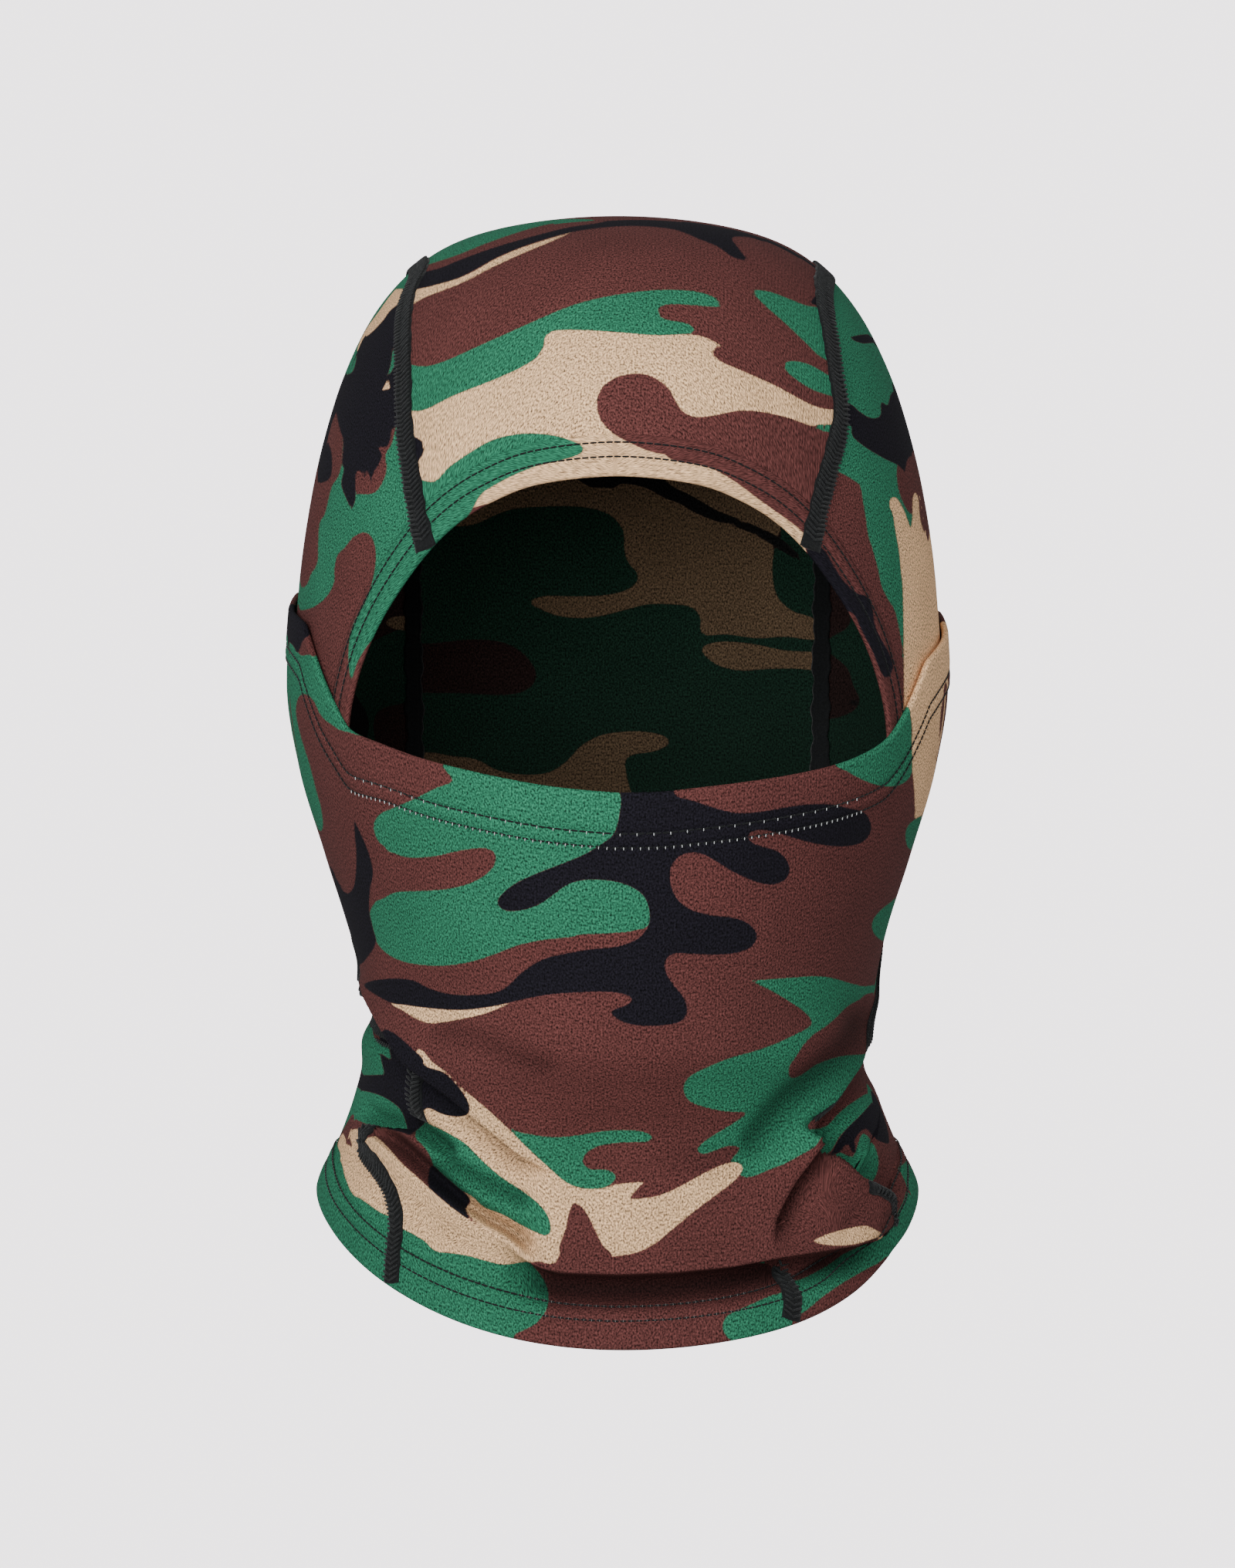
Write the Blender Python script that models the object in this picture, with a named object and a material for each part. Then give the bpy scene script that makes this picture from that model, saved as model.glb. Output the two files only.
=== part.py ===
"""A hinged balaclava in its worn shape: a stretch-knit hood with a separate lower-face cover.

Sizes are in millimetres and are turned into metres where a mesh is made. The wearer faces -Y, +Z is up
and +X is the wearer's left. Every piece of cloth lies on one smooth shell, the shape of the worn hood:
a piece is a sheet of points on that shell, lifted off it by its place in the stack and thickened
outwards. The lower-face cover turns about an axis along X through the jaw.
"""

import math

import bmesh
import bpy
import numpy as np

MM = 0.001
FABRIC = 1.0
LAYER = 2.2  # from the inside of one layer to the inside of the next
JOIN_GAP = 0.4  # between the edges of two pieces in one layer
WING_CELLS = 8

# The shell at its main heights: height, half width, front and back.
STATIONS = (
    (158.8, 0.0, 5.0, 5.0),
    (153.0, 40.0, -42.0, 53.0),
    (146.5, 52.0, -60.0, 68.0),
    (134.0, 63.6, -77.0, 83.0),
    (121.5, 70.4, -87.0, 91.0),
    (109.0, 75.2, -93.0, 95.5),
    (85.0, 81.2, -98.5, 99.0),
    (60.0, 84.8, -103.0, 97.0),
    (35.0, 86.2, -109.5, 93.0),
    (12.0, 83.0, -113.5, 87.0),
    (-10.0, 76.6, -110.0, 78.0),
    (-35.0, 69.2, -103.5, 66.0),
    (-52.0, 66.4, -98.5, 59.0),
    (-64.0, 66.6, -90.0, 57.0),
    (-78.0, 70.0, -82.5, 58.5),
    (-92.0, 75.2, -80.0, 63.0),
    (-103.0, 80.0, -81.0, 68.0),
    (-118.0, 81.8, -85.0, 74.0),
    (-136.0, 82.5, -92.0, 80.0),
)
ROUNDNESS = 2.1  # exponent of a level cut; 2 is an ellipse
MIDDLE_Y = 5.0  # the widest place of every level cut
HEAD_Z = 60.0  # centre of the head's dome

# The face opening, half of it: x and z from the top round to the bottom.
OPENING = ((0, 92.5), (19, 90.5), (31, 86), (41, 79.5), (50, 70), (60, 55), (66, 41), (69, 26),
           (68, 10), (62, -8), (50, -26), (32, -39), (0, -45))
OPENING_HEM = 10.5
OPENING_ROWS = (5.0, 8.7)

# The cover's top edge: azimuth from the front in degrees, and height.
COVER_EDGE = ((0, 12.5), (15, 13.2), (30, 16.0), (45, 20.5), (60, 27.5), (75, 37.0), (88, 48.5), (98, 58.0))
COVER_HEM = 14.0
COVER_ROWS = (9.0, 12.5)
COVER_HALF_WIDTH = 60.0  # the part that turns
COVER_SIDE_GAP = 3.0  # between it and the wings, because its layer stands further out
COVER_LOW_MIDDLE, COVER_LOW_SIDE = -40.0, -20.0  # its lower edge
HINGE_Y, HINGE_Z = 10.0, -15.0

# The bottom edge's height: its middle, how much lower the front is than the back, and than the sides.
HEM_MIDDLE_Z, HEM_FRONT_DROP, HEM_SIDE_RISE = -113.5, 6.0, 10.5

SEAM_CLEAR = 1.6  # between the crown seams' lines and the side panels
CHIN_CLEAR = 1.2  # between the chin panel and the face opening's hem
STRIP_START_HALF, STRIP_END_HALF = 50.0, 52.0  # half the crown panel's width at its two ends
CHIN_TAPER = 0.04  # how much narrower the chin panel is at the top

# Rows and columns of the panels' meshes.
CROWN_ROWS, CROWN_COLUMNS = 20, 11
SIDE_ROWS, SIDE_COLUMNS = 27, 15
CHIN_ROWS, CHIN_COLUMNS = 6, 15
NECK_ROWS, CHEST_ROWS, NECK_COLUMNS = 6, 9, 11
ROUNDS = 12  # repeats that bring an edge to where two lines cross

# Where the front panel meets the side panels at the neck: height and azimuth in degrees.
NECK_LINE_LEFT = ((-140, 30), (-118, 33), (-105, 40), (-90, 48), (-75, 46))
NECK_LINE_RIGHT = ((-140, 42), (-118, 43), (-105, 45), (-90, 50), (-75, 46))
NECK_TOP = -62.0
WING_BACK = 98.0  # azimuth of the edge that runs up to the ear
# From the top of the neck seam back under the jaw: share of the way to the wing's back edge, and height.
WING_LOW = ((0.0, -62), (0.25, -56), (0.55, -49), (0.8, -42), (1.0, -34))
WING_MIDDLE_Z = 6.0  # height on the back edge of the row that starts at the cover's lower corner

# Half the centre strip's width: degrees over the dome from the front, then 1 more for each mm down the back.
STRIP = ((8, 48.0), (25, 54.0), (45, 56.5), (90, 55.0), (150, 57.5), (180, 58.0), (240, 57.0),
         (290, 51.0), (360, 52.0))

CHIN_HALF = 44.0  # half the hidden chin panel's width
NECK_JOIN_Z = -72.0  # where the chin panel meets the front panel's seams

BOTTOM_HEM = 12.0
BOTTOM_ROWS = (7.0, 11.0)
SEAM_WIDTH, SEAM_HEIGHT = 5.8, 0.6
THREAD_WIDTH, THREAD_HEIGHT = 0.8, 0.3
THREAD_LIFT = 0.25  # above the cloth that it lies on
LABEL_WIDTH, LABEL_HEIGHT, LABEL_THICK, LABEL_Z = 24.0, 32.0, 0.4, -80.0
LABEL_INSET = 1.0  # from the shell to the label's far side
TACK_LOW, TACK_HIGH, TACK_WIDTH = 47.5, 57.0, 3.0
EAR_Z = 46.0  # top of the seam behind the wing
SEAM_FOOT_AZIMUTH = 136.0  # where the crown seams meet the bottom hem
SEAM_FOOT_GAP = 4.0

GREEN = (0.037, 0.169, 0.105, 1.0)
BROWN = (0.080, 0.031, 0.028, 1.0)
TAN = (0.64, 0.51, 0.38, 1.0)
BLACK = (0.018, 0.018, 0.021, 1.0)
WHITE = (0.75, 0.74, 0.72, 1.0)


def smooth_through(knots):
    """A function through the knots with no overshoot between them."""
    at = np.array([k[0] for k in knots], float)
    value = np.array([k[1:] for k in knots], float)
    if at[0] > at[-1]:
        at, value = at[::-1], value[::-1]
    step = np.diff(at)[:, None]
    rise = np.diff(value, axis=0) / step
    slope = np.zeros_like(value)
    same = rise[:-1] * rise[1:] > 0
    total = np.where(same, rise[:-1] + rise[1:], 1.0)
    slope[1:-1] = np.where(same, 2 * rise[:-1] * rise[1:] / total, 0.0)
    slope[0], slope[-1] = rise[0], rise[-1]

    def read(position):
        x = np.clip(np.atleast_1d(np.asarray(position, float)), at[0], at[-1])
        i = np.clip(np.searchsorted(at, x, side="right") - 1, 0, len(at) - 2)
        h = step[i]
        t = (x[:, None] - at[i][:, None]) / h
        return (
            (2 * t**3 - 3 * t**2 + 1) * value[i]
            + (t**3 - 2 * t**2 + t) * h * slope[i]
            + (3 * t**2 - 2 * t**3) * value[i + 1]
            + (t**3 - t**2) * h * slope[i + 1]
        )

    return read


SHELL_TOP = STATIONS[0][0]
# Read by the square root of the depth under the top, which keeps the crown round.
LEVELS = smooth_through([(math.sqrt(SHELL_TOP - s[0]), *s[1:]) for s in STATIONS])


def inside(p):
    """Which points are inside the shell."""
    depth = SHELL_TOP - p[:, 2]
    width, front, back = LEVELS(np.sqrt(np.maximum(depth, 0.0))).T
    reach = np.where(p[:, 1] < MIDDLE_Y, MIDDLE_Y - front, back - MIDDLE_Y)
    width, reach = np.maximum(width, 1e-6), np.maximum(reach, 1e-6)
    across = (np.abs(p[:, 0]) / width) ** ROUNDNESS
    along = (np.abs(p[:, 1] - MIDDLE_Y) / reach) ** ROUNDNESS
    return (depth > 0) & (across + along < 1)


def cast(origins, directions):
    """Where rays from inside the shell leave it."""
    d = directions / np.linalg.norm(directions, axis=1)[:, None]
    low, high = np.zeros(len(d)), np.full(len(d), 260.0)
    for _ in range(34):
        middle = (low + high) / 2
        is_in = inside(origins + d * middle[:, None])
        low, high = np.where(is_in, middle, low), np.where(is_in, high, middle)
    return origins + d * low[:, None]


def centres(p, keep_x=False):
    x = p[:, 0] if keep_x else np.zeros(len(p))
    return np.stack([x, np.full(len(p), MIDDLE_Y), np.minimum(p[:, 2], HEAD_Z)], axis=1)


def settle(points):
    """Points moved straight out from the head's middle until they lie on the shell."""
    p = np.asarray(points, float).reshape(-1, 3)
    c = centres(p)
    return cast(c, p - c).reshape(np.shape(points))


def lifted(points, height):
    """Points on the shell, moved out from it along its normal."""
    p = np.asarray(points, float).reshape(-1, 3)
    out = p - centres(p)
    out /= np.linalg.norm(out, axis=1)[:, None]
    side = np.cross(out, (0.0, 0.0, 1.0))
    flat = np.linalg.norm(side, axis=1) < 0.05
    side[flat] = (1.0, 0.0, 0.0)
    side /= np.linalg.norm(side, axis=1)[:, None]
    up = np.cross(side, out)
    du = settle(p + side) - settle(p - side)
    dv = settle(p + up) - settle(p - up)
    normal = np.cross(du, dv)
    normal /= np.linalg.norm(normal, axis=1)[:, None]
    normal *= np.sign((normal * out).sum(axis=1))[:, None]
    return (p + normal * height).reshape(np.shape(points))


def round_at(azimuth, z):
    """The shell's points at these azimuths (degrees from the front, + to the wearer's left) and heights."""
    a, z = np.broadcast_arrays(np.radians(np.asarray(azimuth, float)), np.asarray(z, float))
    shape = a.shape
    a, z = a.ravel(), z.ravel()
    centre = np.stack([np.zeros_like(a), np.full_like(a, MIDDLE_Y), z], axis=1)
    way = np.stack([np.sin(a), -np.cos(a), np.zeros_like(a)], axis=1)
    return cast(centre, way).reshape(*shape, 3)


def front_at(x, z):
    """The shell's front at these x and z."""
    x, z = np.broadcast_arrays(np.asarray(x, float), np.asarray(z, float))
    shape = x.shape
    x, z = x.ravel(), z.ravel()
    centre = np.stack([x, np.full_like(x, MIDDLE_Y), z], axis=1)
    way = np.tile((0.0, -1.0, 0.0), (len(x), 1))
    return cast(centre, way).reshape(*shape, 3)


def azimuth_of(p):
    return np.degrees(np.arctan2(p[..., 0], -(p[..., 1] - MIDDLE_Y)))


def spaced(line, count, closed=False):
    """The line's points spread evenly along it."""
    line = np.asarray(line, float)
    if closed:
        line = np.concatenate([line, line[:1]])
    at = np.concatenate([[0], np.cumsum(np.linalg.norm(np.diff(line, axis=0), axis=1))])
    want = np.linspace(0, at[-1], count + 1)[:-1] if closed else np.linspace(0, at[-1], count)
    return np.stack([np.interp(want, at, line[:, k]) for k in range(3)], axis=1)


# ---- the lines that the pieces meet on ----

COVER_TOP = smooth_through(COVER_EDGE)
STRIP_HALF = smooth_through(STRIP)


def hem_height(azimuth):
    """The bottom edge: lowest at the front, lower at the back than at the sides."""
    a = np.radians(azimuth)
    return HEM_MIDDLE_Z - HEM_FRONT_DROP * np.cos(a) - HEM_SIDE_RISE * np.cos(2 * a)


def corner_azimuth():
    """Azimuth of the turning part's lower corners."""
    corner = front_at(COVER_HALF_WIDTH + JOIN_GAP, COVER_LOW_SIDE - JOIN_GAP)
    return abs(float(azimuth_of(corner)))


def neck_line(side):
    """Azimuth of the front panel's edge by height; side is 1 for the wearer's left and -1 for the right."""
    low = NECK_LINE_LEFT if side > 0 else NECK_LINE_RIGHT
    return smooth_through(low + ((NECK_TOP, corner_azimuth()),))


def cover_low(x):
    """Height of the turning part's lower edge."""
    share = (np.abs(x) / COVER_HALF_WIDTH) ** 2
    return COVER_LOW_MIDDLE + (COVER_LOW_SIDE - COVER_LOW_MIDDLE) * share


def cover_top_at(x):
    """Height of the cover's top edge at x, by its azimuth there."""
    z = np.full(np.shape(x), 15.0)
    for _ in range(6):
        z = COVER_TOP(np.abs(azimuth_of(front_at(x, z))).ravel())[:, 0].reshape(np.shape(x))
    return z


def opening_loop(offset, count=56):
    """The face opening's edge, or a line this far outside it, evenly spaced from the top."""
    half = np.array(OPENING, float)
    both = np.concatenate([half, half[-2:0:-1] * (-1, 1)])
    turns = np.concatenate([both[-3:], both, both[:4]])
    fine = np.linspace(3, 3 + len(both), 481)[:-1]
    i = fine.astype(int)
    t = (fine - i)[:, None]
    a, b, c, d = turns[i - 1], turns[i], turns[i + 1], turns[i + 2]
    flat = 0.5 * (2 * b + (c - a) * t + (2 * a - 5 * b + 4 * c - d) * t**2 + (3 * b - a - 3 * c + d) * t**3)
    edge = front_at(flat[:, 0], flat[:, 1])
    if offset:
        along = np.roll(edge, -1, axis=0) - np.roll(edge, 1, axis=0)
        out = lifted(edge, 1.0) - edge
        away = np.cross(along, out)
        away /= np.linalg.norm(away, axis=1)[:, None]
        middle = edge.mean(axis=0)
        away *= np.sign((away * (edge - middle)).sum(axis=1).mean())
        edge = settle(edge + away * offset)
    return spaced(edge, count, closed=True)


def strip_at(turn, x):
    """The shell at x and turn: degrees over the dome from the front, then 1 for each mm down the back."""
    turn, x = np.asarray(turn, float), np.asarray(x, float)
    shape = turn.shape
    turn, x = turn.ravel(), x.ravel()
    a = np.radians(np.minimum(turn, 180.0))
    z = HEAD_Z - np.maximum(turn - 180.0, 0.0)
    origin = np.stack([x, np.full_like(x, MIDDLE_Y), z], axis=1)
    way = np.stack([np.zeros_like(a), -np.cos(a), np.sin(a)], axis=1)
    return cast(origin, way).reshape(*shape, 3)


def strip_start(x):
    """The turn at which the centre strip meets the face opening's hem."""
    loop = opening_loop(OPENING_HEM + JOIN_GAP, 400)
    top = loop[(loop[:, 2] > 40)]
    order = np.argsort(top[:, 0])
    z = np.interp(x, top[order, 0], top[order, 2])
    p = front_at(x, z)
    return np.degrees(np.arctan2(p[:, 2] - HEAD_Z, MIDDLE_Y - p[:, 1]))


def strip_end(x):
    """The turn at which the centre strip meets the bottom hem, at the back."""
    azimuth = np.linspace(120, 240, 241)
    edge = round_at(azimuth, hem_height(azimuth) + BOTTOM_HEM + JOIN_GAP)
    return 180.0 + HEAD_Z - np.interp(x, edge[::-1, 0], edge[::-1, 2])


# ---- pieces ----


def material(name, colour, roughness=0.85):
    made = bpy.data.materials.new(name)
    made.use_nodes = True
    shader = made.node_tree.nodes["Principled BSDF"]
    shader.inputs["Base Color"].default_value = colour
    shader.inputs["Roughness"].default_value = roughness
    shader.inputs["Metallic"].default_value = 0.0
    return made


def sheet(name, grids, lift, thickness, look, closed=False, parent=None):
    """A sheet through grids of points on the shell, lifted off it and thickened outwards."""
    mesh = bmesh.new()
    for grid in grids:
        grid = lifted(grid, lift) * MM
        rows = [[mesh.verts.new(p) for p in row] for row in grid]
        if closed:
            rows.append(rows[0])
        for a, b in zip(rows, rows[1:]):
            for i in range(len(a) - 1):
                mesh.faces.new((a[i], a[i + 1], b[i + 1], b[i]))
    bmesh.ops.remove_doubles(mesh, verts=mesh.verts, dist=0.00002)
    bmesh.ops.recalc_face_normals(mesh, faces=mesh.faces)
    centre = MIDDLE_Y * MM
    facing = sum((f.calc_center_median().x * f.normal.x
                  + (f.calc_center_median().y - centre) * f.normal.y) * f.calc_area() for f in mesh.faces)
    if facing < 0:
        bmesh.ops.reverse_faces(mesh, faces=mesh.faces)
    data = bpy.data.meshes.new(name)
    mesh.to_mesh(data)
    mesh.free()
    data.shade_smooth()
    data.materials.append(look)
    piece = bpy.data.objects.new(name, data)
    bpy.context.collection.objects.link(piece)
    thick = piece.modifiers.new("thickness", "SOLIDIFY")
    thick.thickness = thickness * MM
    thick.offset = 1.0
    thick.use_even_offset = True
    if parent:
        piece.parent = parent
        data.transform(parent.matrix_world.inverted())
    return piece


def ribbon(name, line, width, lift, thickness, look, closed=False, parent=None):
    """A narrow band along a line on the shell."""
    line = np.asarray(line)
    if closed:
        along = np.roll(line, -1, axis=0) - np.roll(line, 1, axis=0)
    else:
        along = np.gradient(line, axis=0)
    across = np.cross(along, lifted(line, 1.0) - line)
    across /= np.linalg.norm(across, axis=1)[:, None]
    grid = np.stack([settle(line + across * k * width / 2) for k in (-1, 0, 1)], axis=1)
    return sheet(name, [grid], lift, thickness, look, closed, parent)


def crown_panel(look):
    across = np.linspace(-1, 1, CROWN_COLUMNS)
    start, end = strip_start(across * STRIP_START_HALF), strip_end(across * STRIP_END_HALF)
    share = np.linspace(0, 1, CROWN_ROWS)[:, None]
    turns = np.concatenate([start + (180.0 - start) * share, (180.0 + (end - 180.0) * share)[1:]])
    half = STRIP_HALF(turns.ravel())[:, 0].reshape(turns.shape) - JOIN_GAP / 2
    return sheet("crown_panel", [strip_at(turns, across * half)], 0.0, FABRIC, look)


def crown_seam_line(side, count=52, wider=0.0):
    """From the edge of the face opening over the crown and down to the bottom hem."""
    loop = opening_loop(1.0, 400)
    corner = loop[(loop[:, 2] > 40) & (loop[:, 0] > 0)]
    at = corner[np.argmin(np.abs(corner[:, 0] - STRIP[0][1]))]
    begin = math.degrees(math.atan2(at[2] - HEAD_Z, MIDDLE_Y - at[1]))
    last = 180.0 + HEAD_Z - hem_height(SEAM_FOOT_AZIMUTH) - BOTTOM_HEM - SEAM_FOOT_GAP
    turns = np.concatenate([np.linspace(begin, 180, 60), np.linspace(180, last, 60)[1:]])
    return spaced(strip_at(turns, side * (STRIP_HALF(turns)[:, 0] + wider)), count)


def by_height(line):
    """Azimuth along a line that rises all the way, read by height."""
    line = line[np.argsort(line[:, 2])]
    azimuth = azimuth_of(line)
    return lambda z: np.interp(z, line[:, 2], azimuth)


def side_panel(name, side, look):
    """From the front edge to the back seam, in rows from the bottom hem to the top of the crown seam."""
    seam = crown_seam_line(1, 400, SEAM_CLEAR)
    peak = int(np.argmax(seam[:, 2]))
    seam_front, seam_back = by_height(seam[:peak]), by_height(seam[peak:])
    top_z = seam[peak, 2] - SEAM_CLEAR
    loop = opening_loop(OPENING_HEM + 2 * JOIN_GAP, 400)
    loop = loop[loop[:, 0] > 0]
    corner = loop[np.argmin(np.abs(loop[:, 0] - STRIP[0][1]) + 1000 * (loop[:, 2] < 40))]
    chin = loop[np.argmin(np.abs(loop[:, 0] - CHIN_HALF) + 1000 * (loop[:, 2] > 0))]
    hem_front = by_height(loop[(loop[:, 2] >= chin[2]) & (loop[:, 2] <= corner[2])])
    neck = neck_line(side)
    slack = math.degrees(JOIN_GAP / 80.0)
    join = float(neck(NECK_JOIN_Z)[0, 0]) + slack

    def front_edge(z):
        rise = (z - NECK_JOIN_Z) / (chin[2] - NECK_JOIN_Z)
        edge = np.where(z > NECK_JOIN_Z, join + rise * (azimuth_of(chin) - join), neck(z)[:, 0] + slack)
        edge = np.where(z > chin[2], hem_front(z), edge)
        return np.where(z > corner[2], seam_front(z), edge)

    v = 1 - (1 - np.linspace(0, 1, SIDE_ROWS)) ** 1.25  # closer together towards the top
    begin, end = np.full(v.shape, join), np.full(v.shape, SEAM_FOOT_AZIMUTH)
    for _ in range(ROUNDS):
        low = [hem_height(edge) + BOTTOM_HEM + JOIN_GAP for edge in (begin, end)]
        begin = front_edge(low[0] + v * (top_z - low[0]))
        end = seam_back(low[1] + v * (top_z - low[1]))
    azimuth = begin[:, None] + (end - begin)[:, None] * np.linspace(0, 1, SIDE_COLUMNS)
    low = hem_height(azimuth) + BOTTOM_HEM + JOIN_GAP
    grid = round_at(side * azimuth, low + v[:, None] * (top_z - low))
    return sheet(name, [grid], 0.0, FABRIC, look)


def chin_panel(look):
    hem_line = opening_loop(OPENING_HEM + JOIN_GAP, 400)
    low = hem_line[hem_line[:, 2] < 0]
    low = low[np.argsort(low[:, 0])]
    x = np.linspace(-CHIN_HALF, CHIN_HALF, CHIN_COLUMNS)
    top = np.interp(x, low[:, 0], low[:, 2]) - CHIN_CLEAR
    rows = [front_at(x * (1 - CHIN_TAPER * s), NECK_JOIN_Z + (top - NECK_JOIN_Z) * s)
            for s in np.linspace(0, 1, CHIN_ROWS)]
    return sheet("chin_panel", [np.array(rows)], 0.0, FABRIC, look)


def front_neck_panel(look):
    """The neck's front, with a wing up each side of the face cover to the ear."""
    corner = corner_azimuth()
    corner_z = COVER_LOW_SIDE - JOIN_GAP
    inner_x = COVER_HALF_WIDTH + JOIN_GAP
    share = np.linspace(1, -1, NECK_COLUMNS)
    v = np.linspace(0, 1, CHEST_ROWS)[:, None]
    z = np.full((CHEST_ROWS, NECK_COLUMNS), NECK_TOP)
    for _ in range(ROUNDS):
        edge = np.where(share > 0, *(neck_line(s)(z.ravel())[:, 0].reshape(z.shape) for s in (1, -1)))
        azimuth = share * edge
        low = hem_height(azimuth) + BOTTOM_HEM + JOIN_GAP
        z = low + v * (NECK_TOP - low)
    grids = [round_at(azimuth, z)]

    v = np.linspace(0, 1, NECK_ROWS)[:, None]
    azimuth = np.broadcast_to(share * corner, (NECK_ROWS, NECK_COLUMNS))
    z = np.full((NECK_ROWS, NECK_COLUMNS), COVER_LOW_MIDDLE)
    for _ in range(ROUNDS):
        x = np.minimum(np.abs(round_at(azimuth, z)[..., 0]), COVER_HALF_WIDTH)
        top = np.where(np.abs(share) < 1, cover_low(x) - JOIN_GAP, corner_z)
        z = NECK_TOP + v * (top - NECK_TOP)
    grids.append(round_at(azimuth, z))

    wing_low = smooth_through(WING_LOW)
    t = np.linspace(0, 1, WING_CELLS)
    for side in (1, -1):
        middle = corner_z + (WING_MIDDLE_Z - corner_z) * t
        z = wing_low(t)[:, 0] + v * (middle - wing_low(t)[:, 0])
        grids.append(round_at(side * (corner + (WING_BACK - corner) * t), z))
        z = np.tile(middle, (NECK_ROWS, 1))
        for _ in range(ROUNDS):
            inner = np.abs(azimuth_of(front_at(np.full(z.shape, inner_x), z)))
            inner[0] = corner
            azimuth = inner + (WING_BACK - inner) * t
            z = middle + v * (COVER_TOP(azimuth.ravel())[:, 0].reshape(z.shape) - middle)
        grids.append(round_at(side * azimuth, z))
    return sheet("front_neck_panel", grids, LAYER, FABRIC, look)


def neck_seam_line(side, count=44):
    """From the bottom edge up the neck, back under the jaw and up to the ear."""
    z = np.linspace(-140, NECK_TOP, 80)
    azimuth = neck_line(side)(z)[:, 0]
    z = np.maximum(z, hem_height(azimuth) + 1.0)
    share = np.linspace(0, 1, 40)[1:]
    corner = corner_azimuth()
    azimuth = np.concatenate([azimuth, corner + (WING_BACK - corner) * share, np.full(40, WING_BACK)])
    ear = np.linspace(WING_LOW[-1][1], EAR_Z, 41)[1:]
    z = np.concatenate([z, smooth_through(WING_LOW)(share)[:, 0], ear])
    line = round_at(side * azimuth, z)
    keep = np.concatenate([[True], np.linalg.norm(np.diff(line, axis=0), axis=1) > 0.05])
    line = line[keep]
    for _ in range(30):
        line[1:-1] = settle((line[:-2] + 2 * line[1:-1] + line[2:]) / 4)
    return spaced(line, count)


def cover_line(below, count=15):
    """A line across the cover, this far under its top edge."""
    half = COVER_HALF_WIDTH - COVER_SIDE_GAP
    x = np.linspace(-half, half, count)
    return front_at(x, cover_top_at(x) - below)


def face_cover(look, parent):
    half = COVER_HALF_WIDTH - COVER_SIDE_GAP
    x = np.linspace(-half, half, 15)
    top, low = cover_top_at(x) - COVER_HEM - JOIN_GAP, cover_low(x)
    grid = [front_at(x, low + (top - low) * v) for v in np.linspace(0, 1, 6)]
    return sheet("face_cover", [np.array(grid)], 2 * LAYER, FABRIC, look, parent=parent)


def band_round(name, inner, outer, lift, thickness, look):
    grid = np.stack([inner, settle((inner + outer) / 2), outer], axis=1)
    return sheet(name, [grid], lift, thickness, look, closed=True)


def care_label(look):
    azimuth = np.linspace(-0.5, 0.5, 4) * math.degrees(LABEL_WIDTH / 56.0)
    z = LABEL_Z + np.linspace(-0.5, 0.5, 5)[:, None] * LABEL_HEIGHT
    return sheet("care_label", [round_at(180.0 + azimuth, z)], -LABEL_INSET, LABEL_THICK, look)


def cover_tack(name, side, look):
    z = np.linspace(TACK_LOW, TACK_HIGH, 3)
    line = round_at(np.full(3, side * (WING_BACK - 3.0)), z)
    return ribbon(name, line, TACK_WIDTH, LAYER + FABRIC + THREAD_LIFT, SEAM_HEIGHT, look)


def bottom_loop(above, count=72):
    azimuth = np.linspace(-180, 180, 361)[:-1]
    return spaced(round_at(azimuth, hem_height(azimuth) + above), count, closed=True)


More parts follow.
